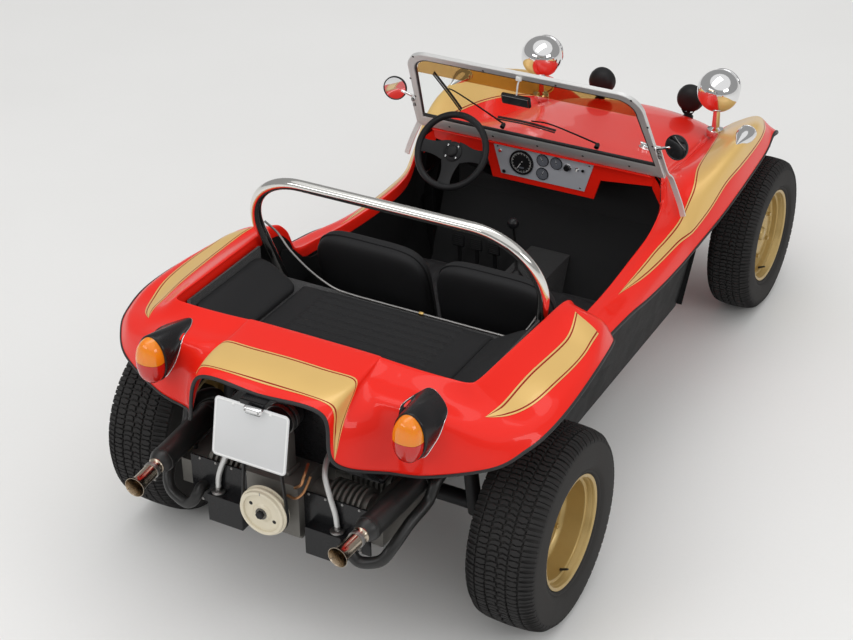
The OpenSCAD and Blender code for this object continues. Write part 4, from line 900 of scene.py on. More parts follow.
def rim_section(w, dish):
    """Outer lip, stepped barrel, disc and inner barrel, from the front of the lip to the back, in mm."""
    lip, k = RIM_D / 2, w / 2
    face = k - dish
    front = [(lip - 1, k - 3), (lip, k - 1), (lip - 1.5, k), (lip - 6, k - 0.5), (lip - 12, k - 4),
        (lip - 15, k - 12), (lip - 16, k - 24), (lip - 19, k - 28), (lip - 27, k - 30), (lip - 30, k - 33),
        (lip - 31, k - 40)]
    depth = dish - 44
    front += [(lip - 32, k - 40 - depth * 0.8), (lip - 35, k - 42 - depth * 0.9), (lip - 42, face + 1),
        (lip - 50, face - 1), (150, face + 1), (128, face + 9), (116, face + 12), (90, face + 12),
        (70, face + 6), (60, face + 2), (42, face + 1)]
    back = [(42, face - 7), (112, face - 4), (150, face - 8), (lip - 48, face - 9), (lip - 40, face - 12),
        (lip - 34, -k + 16), (lip - 18, -k + 8), (lip - 14, -k + 1), (lip - 2, -k), (lip, -k + 2),
        (lip - 13, -k + 12), (lip - 20, -k + 26), (lip - 26, -k + 40), (lip - 26, k - 44),
        (lip - 16, k - 14), (lip - 12, k - 11)]
    return front + back


def wheel(axle, name, side):
    """Tread, tyre wall, rim with cap and nuts, drum and valve of one wheel."""
    q = WHEELS[axle]
    centre = at([side * q["track"] / 2, q["v"], q["d"] / 2])
    tag = axle + "_" + name
    body, axis = "wheel_" + tag, (side, 0, 0)
    section = mm(carcass(q["w"], q["d"], q["rim_w"]))
    pitch = TAU / q["pitches"]
    blocks = [(p / 1000, f) for p, f in (tread_block(q["w"], q["d"], b, pitch) for b in TREAD)]
    tread = ring_of("tread_" + tag, blocks, q["pitches"], TYRE)
    tread.data.transform(shift(centre))
    settle(tread, body=body)
    piece("tyre_" + tag + "_wall", [lathe(section, centre, axis, 128)], [TYRE_WALL], body,
        ["tyre_" + tag], 50)
    rim = mm(rim_section(q["rim_w"], q["dish"]))
    shapes = [lathe(rim, centre, axis, 96, True)]
    face = (q["rim_w"] / 2 - q["dish"]) / 1000
    cap = [(0.0, 0.034), (0.012, 0.0335), (0.022, 0.031), (0.028, 0.026), (0.031, 0.018), (0.033, 0.0),
        (0.044, -0.001)]
    shapes.append(lathe([(r, h + face) for r, h in cap], centre, axis, 40))
    for k in range(STUDS):
        a = k * TAU / STUDS
        spot = centre + np.array([0, math.cos(a), math.sin(a)]) * STUD_R
        nut = [(0.0, 0.028), (0.008, 0.0275), (0.0095, 0.026), (0.0095, 0.015), (0.0135, 0.013),
            (0.0135, 0.009)]
        shapes.append(lathe([(r, h + face) for r, h in nut], spot, axis, 18))
    drum = [(0.0, face - 0.06), (0.112, face - 0.06), (0.118, face - 0.054), (0.118, face - 0.012),
        (0.0, face - 0.010)]
    piece("rim_" + tag + "_gold", shapes, [WHEEL_GOLD], body, ["rim_" + tag], 30)
    piece("drum_" + tag, [lathe(drum, centre, axis, 48)], [BLACK], body, [], 30)
    stem = centre + np.array([side * (q["rim_w"] / 2 - 40) / 1000, 0.0, -(RIM_D / 2 - 34) / 1000])
    tip = stem + np.array([side * 0.03, 0, 0.012])
    piece("valve_" + tag, [tube([stem, (stem + tip) / 2, tip], [0.005, 0.0042, 0.0038], 10)],
        [RUBBER], body)


for axle in WHEELS:
    for name, side in SIDES:
        wheel(axle, name, side)


# Windscreen, in its own frame: x across, y up its slope, z forward out of its face, in mm

RAKE = math.radians(27)
SCREEN_FOOT = (0, -1490, 993.5)
GLASS_INSET = 37
SCREEN_LOW, SCREEN_TOP, SCREEN_H, SCREEN_R, SCREEN_RAIL, LOW_RAIL = 545, 508, 462, 100, 30, 64


def on_screen(points):
    """Places in the windscreen's own frame, as metres in the part's frame."""
    up, out = np.array([0, math.sin(RAKE), math.cos(RAKE)]), np.array([0, -math.cos(RAKE), math.sin(RAKE)])
    return tilted(points, SCREEN_FOOT, up, out)


SCREEN_OUT = on_screen([0, 0, 1]) - on_screen([0, 0, 0])
SCREEN_UP = on_screen([0, 1, 0]) - on_screen([0, 0, 0])


def screen_line(inset, z):
    """The frame's outline, set in from its edge, as points at one depth."""
    w0, w1, h, r = SCREEN_LOW - inset, SCREEN_TOP - inset, SCREEN_H - inset, SCREEN_R - inset * 0.7
    low = inset * LOW_RAIL / SCREEN_RAIL
    a = np.radians(np.linspace(0, 90, 13))
    right = np.stack([w1 - r + r * np.cos(a), h - r + r * np.sin(a)], 1)
    line = np.vstack([[[-w0, low], [w0, low]], right, (right * [-1, 1])[::-1]])
    return on_screen(np.column_stack([line, np.full(len(line), z)]))


def windscreen():
    """Frame with its legs, bolts, seal, sun strip, gasket and screws."""
    section = [(0, -2), (0, -16), (2, -18), (28, -18), (30, -16), (30, -2), (28, 0), (2, 0)]
    frame_ring = surface(np.array([screen_line(d, z) for d, z in section]), True, True)
    legs, bolts = [], []
    for sx in (1, -1):
        m = [sx, 1, 1]
        path = np.vstack([on_screen([(536, 185, -9), (541, 120, -9), (546, 60, -8), (551, 22, -6)]),
            at([(562, -1495, 985), (588, -1496, 928), (612, -1497, 868), (624, -1497, 830)])]) * m
        legs.append(bar(smooth_line(path, 5), X_AXIS * sx, 0.022, 0.007))
        for y in (160, 128):
            bolts.append(turned([(0, 8), (5, 8), (6, 6.5), (6, 3), (8.5, 2.5), (8.5, 0)],
                on_screen([sx * 540, y, -13]), -SCREEN_OUT, 12))
    piece("screen_frame", [frame_ring] + legs, [ALLOY], stands_for=["windscreen_frame"],
        sharp=32)
    piece("screen_bolts", bolts, [STEEL])
    seal = [(29, -15.5), (29, -5), (35, -4), (36.5, -8), (36.5, -13), (35, -16)]
    piece("screen_seal", [surface(np.array([screen_line(d, z) for d, z in seal]), True, True)], [RUBBER])
    x = np.linspace(-470, 470, 63)
    r = SCREEN_R - GLASS_INSET * 0.7
    flat = SCREEN_TOP - GLASS_INSET - r
    top = SCREEN_H - GLASS_INSET - r + np.sqrt(np.maximum(r * r - np.maximum(np.abs(x) - flat, 0) ** 2, 0))
    rows = np.linspace(0, 1, 5)[:, None]
    y = 346 + (top - 346) * rows
    grid = lambda z: on_screen(np.stack([np.broadcast_to(x, y.shape), y, np.full(y.shape, z)], -1))
    piece("sun_strip", solid_sheet(grid(-12.6), grid(-13.6)), [SUN_STRIP])
    c = np.linspace(0, RIM_COL, 40)
    for side in (1, -1):
        edge = skin(float(COWL), c, 0.001, side)
        face = on_screen(np.stack([edge[:, 0] * 1000, np.maximum((edge[:,
            2] * 1000 - SCREEN_FOOT[2]) / math.cos(RAKE) - 3, 1), np.full(len(c), 0.6)], 1))
        top_rows = np.stack([edge, (edge + face) / 2 - [0, 0, 0.003], face])
        piece("screen_gasket_" + ("left" if side > 0 else "right"),
            solid_sheet(top_rows, top_rows - [0, 0, 0.006]), [RUBBER])
    screw = [turned([(0, 1.6), (3.2, 1.4), (4.6, 0.4), (4.8, -0.5)], (0, 0, 0), -SCREEN_OUT, 14)]
    for name, first, count, step in (("top", (-465, 440, -18), 4, (310, 0, 0)),
        ("low", (-400, 32, -18), 5, (200, 0, 0)), ("left", (519, 190, -18), 2, (-6, 110, 0)),
        ("right", (-519, 190, -18), 2, (6, 110, 0))):
        step_m = on_screen(step) - on_screen((0, 0, 0))
        obj = row_of("screen_screws_" + name, screw, count, step_m, BLACK)
        obj.data.transform(shift(on_screen(first)))
        settle(obj)


def mirrors():
    """The mirror inside and the two beside the screen."""
    turn = Matrix.Rotation(math.radians(-16), 4, "X")
    spot = on_screen([12, 352, -56])
    shell = place(round_box((-0.062, -0.008, -0.024), (0.062, 0.010, 0.024), 0.007), shift(spot) @ turn)
    glass = place(round_box((-0.056, 0.0095, -0.019), (0.056, 0.0112, 0.019), 0.0007, 1), shift(spot) @ turn)
    rod = tube([on_screen([-2, 436, -19]), on_screen([2, 420, -34]), on_screen([8, 378, -50]), spot],
        0.0032, 10)
    foot = round_box((-0.012, -0.004, -0.009), (0.012, 0.006, 0.009), 0.003, 2)
    foot = place(foot, shift(on_screen([-2, 442, -22])))
    piece("cabin_mirror", [shell] + tinted([glass], 1) + tinted([rod, foot], 2), [BLACK, MIRROR, WHITE],
        stands_for=["interior_mirror"])
    shapes = []
    for sx in (1, -1):
        centre = on_screen([sx * 616, 200, -4])
        aim = unit(np.array([-sx * 0.22, 1.0, 0.12]))
        shell = mm([(0, -20), (20, -19), (38, -14), (47, -6), (50, 2), (50, 9), (48, 11), (45.5, 10.5),
            (45.2, 8.6)])
        shapes.append(lathe(shell, centre, aim, 40))
        shapes += [turned([(45.2, 8.6), (30, 8.9), (0, 9)], centre, aim, 40, 1)]
        stay = [on_screen([sx * 524, 172, -9]), on_screen([sx * 545, 176, -9]),
            on_screen([sx * 580, 192, -8]), centre - aim * 0.012]
        shapes += tinted([tube(smooth_line(stay, 4), 0.006, 12)], 2)
        shapes += [turned([(0, 6), (9, 5.5), (11, 3), (11, -1)], on_screen([sx * 525, 172, -9]),
            X_AXIS * sx, 20, 2)]
    piece("wing_mirrors", shapes, [BLACK, MIRROR, CHROME], stands_for=["side_mirrors"])


def screen_wipers():
    """Two wipers, with an arm, a blade and a spindle each."""
    shapes = []
    for arm, blade in ((((150, 92), (240, 165), (330, 232), (365, 248)),
        ((407, 340), (367, 243), (329, 138))), (((-264, 92), (-160, 128), (-60, 156), (15, 150)),
        ((165, 138), (30, 141), (-90, 128)))):
        lift = lambda line, z: on_screen([(x, y, z) for x, y in line])
        shapes.append(bar(smooth_line(lift(arm, 12), 5), SCREEN_UP, np.linspace(0.009, 0.005, 16), 0.003))
        shapes.append(bar(smooth_line(lift(blade, 7), 6), SCREEN_OUT, 0.009, 0.004))
        shapes.append(bar(smooth_line(lift(blade, -4), 6), SCREEN_OUT, 0.006, 0.0025))
        shapes.append(turned([(0, 16), (6, 15), (9, 10), (10, 0), (10, -8)],
            on_screen([arm[0][0], arm[0][1], 0]), SCREEN_OUT, 20))
    piece("wiper_arms", shapes, [BLACK], stands_for=["wipers"])


windscreen()
mirrors()
screen_wipers()


# Cushions, bars and cabin

def puff(half, power, cells, relief):
    """Grids of a padded block, drawn from a cube's; relief reshapes it while its half sizes are 1."""
    t = np.tan(np.linspace(-1, 1, cells + 1) * 0.95) / math.tan(0.95)
    u, v = np.meshgrid(t, t, indexing="ij")
    grids = []
    for axis in range(3):
        for sign in (1, -1):
            q = np.insert(np.stack([u, v], -1), axis, sign, axis=-1)
            p = q / (np.abs(q) ** power).sum(-1, keepdims=True) ** (1 / power)
            grids.append(relief(p) * half)
    return grids


def set_at(grids, centre, axes):
    """Surfaces of grids, moved to a place with its own axes."""
    return [surface(np.asarray(centre) + g @ np.asarray(axes)) for g in grids]


def edge_line(half, power, count=96):
    """Points round the rim of a padded block, in its plane."""
    t = np.arange(count) * TAU / count
    bend = lambda k: np.sign(k) * np.abs(k) ** (2 / power)
    return np.stack([bend(np.cos(t)) * half[0], bend(np.sin(t)) * half[1]], 1)


def flutes(p, side, count, depth):
    """Sewn channels along one face of a padded block; side is the sign of that face."""
    q = p.copy()
    inside = np.clip((0.80 - np.abs(p[..., 0])) / 0.06, 0, 1)
    inside = inside * np.clip((0.84 - np.abs(p[..., 1])) / 0.08, 0, 1)
    wave = np.abs(np.cos(p[..., 0] / 0.80 * count * math.pi / 2)) ** 0.45
    face = np.clip((side * p[..., 2] - 0.35) / 0.3, 0, 1)
    q[..., 2] -= side * depth * (inside * (1 - wave) + 0.25 * (1 - inside) * np.clip((0.95 - np.abs(p[...,
        1])), 0, 1)) * face
    return q


SEAT_X, SEAT_POWER = 258, 4.6


def seats():
    """Two seats: fluted back and cushion, sculpted by vertex moves, with piping and a plinth."""
    up = unit([0, 96, 375])
    back_axes = np.array([X_AXIS, up, np.cross(up, X_AXIS)])
    low_axes = np.array([X_AXIS, unit([0, -1, 0.09]), unit([0, 0.09, 1])])
    for name, side in SIDES:
        x = side * SEAT_X
        half = np.array([0.236, 0.226, 0.052])
        centre = at([x, -609, 722])
        backrest = piece("backrest_" + name, set_at(puff(half, SEAT_POWER, 34,
            lambda p: flutes(p, -1, 6, 0.22)), centre, back_axes), [VINYL],
            stands_for=["seat_" + name], sharp=60)
        half_low = np.array([0.234, 0.212, 0.049])
        centre_low = at([x, -932, 520])
        squab = piece("squab_" + name, set_at(puff(half_low, SEAT_POWER, 34,
            lambda p: flutes(p, 1, 6, 0.22)), centre_low, low_axes), [VINYL], sharp=60)
        lines = [c + np.column_stack([edge_line(h[:2] * 1.004, SEAT_POWER), np.zeros(96)]) @ axes
            for c, h, axes in ((centre, half, back_axes), (centre_low, half_low, low_axes))]
        pipes("seat_piping_" + name, lines, 0.0045, VINYL, 10, True)
        piece("seat_plinth_" + name, [round_box(at([x - 200, -1110, 308.5]), at([x + 200, -640, 476]),
            0.012)], [TUB])


def deck():
    """Ribbed deck cushion and the cushions beside it, sculpted by vertex moves."""
    x = np.linspace(-1, 1, 81)
    v = np.linspace(-1, 1, 241)
    fall = lambda t: (1 - np.abs(t) ** 14) ** 0.4
    body_x = np.clip((0.72 - np.abs(x)) / 0.02, 0, 1)
    ribs = 0.0062 * np.abs(np.sin((v + 1) / 2 * math.pi * 12))[:, None] ** 0.6 * body_x[None]
    seam = 0.004 * np.exp(-((np.abs(x) - 0.735) / 0.008) ** 2)[None]
    height = fall(v)[:, None] * fall(x)[None] * (0.0118 + ribs - seam)
    plan = np.stack(np.broadcast_arrays(x[None] * 390, (v * 258 - 42)[:, None]), -1)
    low = at(np.concatenate([plan, np.full(plan.shape[:2] + (1,), 845.4)], -1))
    pad = piece("deck_cushion", solid_sheet(low + height[..., None] * Z_AXIS + [0, 0, 0.0004], low), [VINYL],
        stands_for=["deck_pad"], sharp=60)
    section = np.array([(397, 847), (470, 846), (560, 847), (563, 900), (561, 941), (548, 946), (520, 938),
        (455, 900), (402, 868)])
    loop = smooth_line(np.vstack([section, section[:1]]), 6)[:-1]
    middle = loop.mean(0)
    stations = np.linspace(-1, 1, 49)
    for name, side in SIDES:
        rings = []
        for t in stations:
            k = (1 - abs(t) ** 18) ** 0.5 if abs(t) < 1 else 0.55
            q = middle + (loop - middle) * max(k, 0.55)
            rings.append(upright(q[:, 0] * side, q[:, 1], -62 + t * 217))
        pad = piece("side_cushion_" + name, [loft(rings)], [VINYL],
            stands_for=["side_pads"] if side > 0 else (), sharp=60)


def bars():
    """Roll hoop, and the thin bow folded down behind it."""
    lean = math.radians(17)
    foot, bend, half, turn = np.array([0, -225, 1301.0]), 238, 337, math.radians(100)
    a = np.linspace(0, turn, 22)
    arc = np.stack([half + bend * np.sin(a), bend * (np.cos(a) - 1)], 1)
    arc = np.vstack([[(0, 0)], arc, [(526.4, -534.4)]])
    line = np.vstack([flip(np.column_stack([arc, np.zeros(len(arc))]))[:0:-1],
        np.column_stack([arc, np.zeros(len(arc))])])
    points = at(foot + np.column_stack([line[:, 0], line[:, 1] * math.sin(lean),
        line[:, 1] * math.cos(lean)]))
    pipes("roll_hoop", [even_line(points, 160)], 0.021, POLISHED, 28, stands_for=["roll_bar"])
    bow = [(565.4, -326, 1060), (520, -340, 1015), (463, -324, 970), (400, -318, 925), (338, -318, 887),
        (270, -318, 859), (200, -318, 852), (100, -318, 851), (-150, -318, 851), (-390, -318, 851),
        (-440, -318, 855), (-490, -326, 880), (-525, -358, 940), (-548, -362, 1000), (-565.4, -326, 1060)]
    pipes("bow_tube", [smooth_line(at(bow), 8)], 0.0042, STEEL, 14, stands_for=["top_bow"])
    piece("bow_clip", [tube(at([(-83, -318, 851), (-92, -318, 851), (-101, -318, 851)]),
        [0.0068, 0.0085, 0.0068], 16)], [BRASS])


def steering():
    """Steering wheel: rim, three dished spokes, hub and screws."""
    centre, axis = at([306, -1300, 992]), np.array([0, math.cos(math.radians(34)),
        math.sin(math.radians(34))])
    up = np.array([0, -axis[2], axis[1]])
    body = "steering_wheel"
    rim = ring_line(centre, X_AXIS, up, 0.149, 0.149, 96)
    pipes("wheel_rim", [rim], 0.0138, BLACK, 20, True, body, ["steering_wheel"])
    shapes = []
    for way in (X_AXIS, -X_AXIS, -up):
        r = np.linspace(0.02, 0.146, 9)
        sink = -0.016 * (1 - (r / 0.146) ** 2)
        path = centre + r[:, None] * way + sink[:, None] * axis
        width = np.interp(r, [0.02, 0.045, 0.075, 0.11, 0.146], [0.088, 0.08, 0.058, 0.05, 0.058])
        shapes.append(bar(path, np.cross(axis, way), width, 0.005))
    hub = mm([(0, 8), (14, 7.4), (21, 5), (24, 1), (25, -4), (34, -6), (40, -9), (42, -14), (42, -22),
        (30, -26), (22, -40), (19, -44)])
    shapes.append(lathe(hub, centre, axis, 40))
    piece("wheel_spokes", shapes, [BLACK], body)
    screw = place(turned([(0, 3), (3.4, 2.6), (4, 0)], (0, 0, 0.0325), X_AXIS, 12),
        Matrix.Rotation(math.radians(45), 4, "X"))
    screws = ring_of("wheel_screws", [screw], 4, CHROME)
    a, b = Vector(-X_AXIS), Vector(up)
    m = Matrix((Vector(axis), a, b)).transposed().to_4x4()
    screws.data.transform(shift(centre - axis * 0.006) @ m)
    settle(screws, body=body)


PANEL_X, PANEL_Z, PANEL_W, PANEL_H, PANEL_FACE = -12, 907, 450, 130, -1491.3


def dash_spot(share_x, share_z):
    """A place on the instrument panel, by shares of its width and height from its middle."""
    return at([PANEL_X + share_x * PANEL_W, PANEL_FACE, PANEL_Z + share_z * PANEL_H])


def dial_ring(name, spot, half, inner, outer, count, depth, material):
    """Marks set round a dial, from an inner to an outer radius."""
    mark = round_box((-0.0003, -half, inner), (0.0003, half, outer), 0.0001, 1)
    obj = ring_of(name, [mark], count, material)
    obj.data.transform(shift(spot + Y_AXIS * depth) @ Matrix.Rotation(math.radians(90), 4, "Z"))
    settle(obj)


def needle(spot, way, height, tail, reach, width, thick):
    middle = spot + Y_AXIS * height
    return bar([middle - way * tail, middle, middle + way * reach], np.cross(way, Y_AXIS), width, thick)


def dials():
    """Speedometer, three gauges, knobs, switches and screws on the instrument panel."""
    spot = dash_spot(0.21, 0.02)
    shapes = [turned([(54, -1), (54, 5), (52.5, 7.5), (50, 8), (47.5, 7), (46.5, 4)], spot, Y_AXIS, 64)]
    shapes += [turned([(46.5, 4), (20, 4.05), (0, 4.1)], spot, Y_AXIS, 64, 1)]
    shapes += [turned([(0, 8), (4, 7.6), (5, 6), (5, 4)], spot, Y_AXIS, 20)]
    way = unit([0.55, 0, -0.84])
    shapes += tinted([needle(spot, way, 0.006, 0.008, 0.036, [0.003, 0.003, 0.0012], 0.0008)], 3)
    shapes += tinted([round_box(spot + [-0.012, 0.0041, -0.026], spot + [0.012, 0.0046, -0.019],
        0.0002, 1)], 2)
    for k, (sx, sz) in enumerate(((0, 0.25), (-0.135, 0.25), (0, -0.21))):
        p = dash_spot(sx, sz)
        shapes.append(turned([(27, -1), (27, 3.4), (26, 5), (25, 5.2), (24.4, 4.4), (24.2, 3.4)],
            p, Y_AXIS, 48))
        shapes += [turned([(24.2, 3.4), (10, 3.45), (0, 3.5)], p, Y_AXIS, 48, 2)]
        lean = math.radians(35 - 30 * k)
        way = np.array([math.sin(lean), 0, math.cos(lean)])
        shapes += tinted([needle(p, way, 0.0045, 0.005, 0.016, [0.002, 0.002, 0.0008], 0.0006)], 3)
        shapes += [turned([(0, 5.6), (2.6, 5.2), (3, 3.4)], p, Y_AXIS, 14)]
        dial_ring("gauge_ticks_%d" % (k + 1), p, 0.0004, 0.0175, 0.0215, 10, 0.0037, DIAL)
    fittings = [(-0.247, 0.2, [(15.5, -0.5), (15.5, 2), (14, 3), (12, 2.5)], Y_AXIS, 36, 4),
        (-0.247, 0.2, [(8, 2), (8, 6), (12, 7), (13, 9), (13, 14), (11.5, 16), (0, 16.5)], Y_AXIS, 36, 0),
        (-0.34, 0.21, [(9, -0.5), (9, 2), (7.5, 3.4), (5, 3.6), (4, 3.6)], Y_AXIS, 6, 4),
        (-0.34, 0.21, [(4, 2), (3.5, 8), (4.6, 11), (4, 13), (0, 13.5)], unit([0, 1, -0.35]), 20, 3),
        (-0.4, 0.21, [(3, -0.5), (3, 4), (6, 5), (6.4, 8), (5, 10), (0, 10.5)], Y_AXIS, 24, 0),
        (0.43, 0.27, [(9, -0.5), (9, 3), (7.5, 4.5), (6.6, 4)], Y_AXIS, 30, 4),
        (0.43, 0.27, [(6.6, 3), (6, 6), (4, 7.6), (0, 8.2)], Y_AXIS, 24, 5),
        (0.38, -0.39, [(3, -0.5), (3, 5), (7, 6.5), (8, 9), (6.4, 11.6), (0, 12.2)], Y_AXIS, 28, 0)]
    for sx, sz, profile, axis, sides, index in fittings:
        shapes.append(turned(profile, dash_spot(sx, sz), axis, sides, index))
    for sx, sz in ((0.455, 0.41), (-0.455, 0.41), (0.375, -0.41), (-0.375, -0.41), (0, 0.44)):
        shapes += [turned([(4, -0.4), (3.6, 1.2), (2, 1.8), (0, 2)], dash_spot(sx, sz), Y_AXIS, 14, 4)]
    piece("dial_set", shapes, [GLOSS_BLACK, DIAL, DIAL_GREY, WHITE, CHROME, RED_LENS],
        stands_for=["gauges"])
    dial_ring("speed_ticks_long", spot, 0.0007, 0.036, 0.0445, 18, 0.0045, WHITE)
    dial_ring("speed_ticks_short", spot, 0.0004, 0.040, 0.0445, 72, 0.0045, WHITE)


TUNNEL_TOP = 458


def levers():
    """Gear lever in its gaiter and handbrake, on the tunnel."""
    gaiter = [(52, 0), (52, 4), (48, 6)] + [q for k in range(5)
        for q in ((45 - 6 * k, 8 + 11 * k), (41 - 6 * k, 14 + 11 * k))] + [(11, 66), (9, 70)]
    shapes = [turned(gaiter, at([0, -1290, TUNNEL_TOP + 0.4]), Z_AXIS, 40, 1)]
    line = smooth_line(at([(0, -1290, TUNNEL_TOP + 40), (0, -1288, 560), (0, -1276, 660), (0, -1256, 738),
        (0, -1250, 752)]), 6)
    shapes.append(tube(line, 0.0078, 16))
    ball = [(24 * math.sin(t), -24 * math.cos(t)) for t in np.linspace(0.34, math.pi, 16)]
    shapes += [turned(ball, at([0, -1250, 760]), Z_AXIS, 32, 2)]
    piece("shift_lever", shapes, [CHROME, RUBBER, GLOSS_BLACK], stands_for=["gear_lever"])
    shapes = tinted([round_box(at([-20, -1060, TUNNEL_TOP + 0.4]), at([20, -960, TUNNEL_TOP + 34]),
        0.008)], 1)
    shapes.append(tube(at([(0, -1000, 478), (0, -1060, 494), (0, -1100, 506)]), 0.009, 16))
    way = unit(at([0, -1180, 528]) - at([0, -1100, 506]))
    grip = [(8, 0), (12, 3), (13.5, 10), (12.6, 30), (13.8, 55), (12.5, 78), (9, 84), (6, 84.5)]
    shapes += [turned(grip, at([0, -1096, 505]), way, 24, 1)]
    shapes.append(turned([(6, 84), (5, 92), (3, 94), (0, 94.5)], at([0, -1096, 505]), way, 18))
    piece("brake_lever", shapes, [CHROME, BLACK], stands_for=["handbrake"])


LINING_T, TUB_FRONT_V = 0.004, -1692


def dash_board():
    """The red dash, with a return to the rim at each end."""
    outline = [(-494, 984), (-488, 930), (-266, 905), (-240, 816), (216, 816), (242, 905), (488, 930),
        (494, 984)]
    rows = [at([(x * k, v, z) for x, z in outline]) for v,
        k in ((-1507.6, 0.998), (-1506, 1), (-1497, 1), (-1495.6, 0.998))]
    shapes = [loft(rows), round_box(at([-487, -1497, 977]), at([487, -1469.8, 985]), 0.003, 2)]
    for sx in (1, -1):
        inner = at([(sx * 486, -1500, z) for z in (975, 950, 920)])
        outer = at([(sx * 546, -1476, z) for z in (918, 880, 840)])
        grid = np.stack([inner, (inner + outer) / 2, outer])
        shapes += solid_sheet(grid, grid - LINING_T * Y_AXIS)
    piece("dash_board", shapes, [RED], stands_for=["dash"], sharp=40)


def footwells():
    """Black sheets that close the footwell: under the bonnet, beside the toe board and along the rim."""
    c = np.linspace(0, 9.4, 50)
    top = skin(7.05, c) - [0, 0, 0.009]
    for name, side in SIDES:
        low = np.interp(c, [0, 7.2, 9.4], [0.70, 0.70, 0.775])
        wall = np.stack([top, np.column_stack([top[:, :2], low])]) * [side, 1, 1]
        z = np.linspace(304, 850, 12)
        toe = -1564 - np.maximum(z - 640, 0) / 210 * 140
        inner = at(np.column_stack([np.full(12, side * 540.0), toe - 3, z]))
        outer = at(np.column_stack([side * (547 + (z - 300) / 590 * 78), toe - 3, z]))
        gap = np.stack([inner, outer])
        back = at([[(side * 480, TUB_FRONT_V, 720), (side * 650, TUB_FRONT_V, 760)],
            [(side * 480, TUB_FRONT_V, 312), (side * 578, TUB_FRONT_V, 312)]])
        s = np.linspace(8.02, LAST, 150)
        top_edge = skin(s, 4.0)
        rear = np.clip((s - 13.5) / 2.5, 0, 1)[:, None]
        front_low = top_edge + [0.022, 0, -0.30]
        rear_low = np.column_stack([top_edge[:, :2], np.full(len(s), 0.834)])
        lining = np.stack([top_edge, front_low * (1 - rear) + rear_low * rear]) * [side, 1, 1]
        sheets = [q for grid in (wall, gap, back) for q in solid_sheet(grid, grid - LINING_T * Y_AXIS)]
        piece("footwell_" + name, sheets + solid_sheet(lining, lining + [side * 0.003, 0, 0]), [TUB])


def pedal_set():
    """Three pedals that stand on the floor."""
    shapes = []
    for x in (215, 300, 385):
        arm = at([(x, -1522, 309), (x, -1526, 370), (x, -1522, 430), (x, -1516, 462)])
        shapes.append(bar(smooth_line(arm, 5), X_AXIS, 0.016, 0.008))
        shapes.append(place(round_box((-0.028, -0.006, -0.03), (0.028, 0.006, 0.03), 0.004),
            shift(at([x, -1515, 465]))))
        shapes += tinted([round_box(at([x - 24, -1510, 442 + 9 * k]), at([x + 24, -1507.5, 446 + 9 * k]),
            0.001, 1) for k in range(6)], 1)
    piece("pedal_set", shapes, [BLACK, RUBBER], stands_for=["pedals"])


seats()
deck()
dash_board()
footwells()
pedal_set()
bars()
steering()
dials()
levers()


# Lamps and filler of the front

def lamp_dome(radius, depth, lift, steps=6):
    """Profile of a bulged glass, from its edge to its middle."""
    t = np.linspace(0, 1, steps)
    return [(radius * (1 - k), lift + depth * (1 - (1 - k) ** 2)) for k in t]


HEADLAMP_Z, HEADLAMP_R = 980, 93


def headlamps():
    """Ball headlamps on their stalks, made on the left and mirrored."""
    shapes = []
    ball = [(HEADLAMP_R * math.sin(t), HEADLAMP_R * math.cos(t)) for t in np.linspace(math.pi, 0.87, 26)]
    rim = [(73, 60), (77, 61), (78.5, 64), (78, 69), (74, 72), (69, 71), (67, 69)]
    centre = at([424, FRONT_AXLE_V, HEADLAMP_Z])
    drop = skin_mm(4.35, 6.5)[2] - HEADLAMP_Z
    shapes.append(turned(ball + rim, centre, -Y_AXIS, 64))
    shapes += [turned([(67, 69)] + lamp_dome(66.5, 9, 69), centre, -Y_AXIS, 48, 1)]
    foot = [(38, drop - 22), (38, drop + 4), (35, drop + 10), (24, drop + 14), (17, drop + 20), (15, -85)]
    shapes.append(turned(foot, centre, Z_AXIS, 36))
    shapes.append(turned([(4, 0), (4, 5), (0, 6)], centre + [0, -0.074, -0.074], -Y_AXIS, 12))
    piece("headlamp_pair", both(shapes), [CHROME, LAMP_GLASS], stands_for=["headlamps"])
    reflector = [turned([(66, 66), (50, 50), (30, 38), (10, 32), (0, 31)], centre, -Y_AXIS, 40)]
    piece("headlamp_bowls", both(reflector), [MIRROR])


def fog_lamps():
    """Round lamps on the bonnet, in brackets."""
    base = skin_mm(3.4, 1.5)
    centre = at(base + [0, 0, 84.5])
    shapes = [turned([(0, -30), (22, -29), (42, -23), (55, -11), (60.5, 4), (61.5, 12), (62.5, 14),
        (62.5, 31), (60, 34.5), (56, 34.5), (55, 32)], centre, -Y_AXIS, 48)]
    shapes += [turned([(55, 32)] + lamp_dome(55, 6, 32), centre, -Y_AXIS, 40, 1)]
    shapes.append(turned([(24, -104), (24, -80), (20, -76), (9, -73), (8, -58)], centre, Z_AXIS, 24))
    shapes.append(bar(at(base + [[-30, 0, 70], [-28, 0, 34], [-18, 0, 18], [0, 0, 14], [18, 0, 18],
        [28, 0, 34], [30, 0, 70]]), Y_AXIS, 0.022, 0.004))
    piece("fog_lamps", both(shapes), [BLACK, LAMP_GLASS], stands_for=["aux_lamps"])
    reflector = [turned([(55, 31), (40, 16), (20, 4), (0, 0)], centre, -Y_AXIS, 36)]
    piece("fog_bowls", both(reflector), [MIRROR])


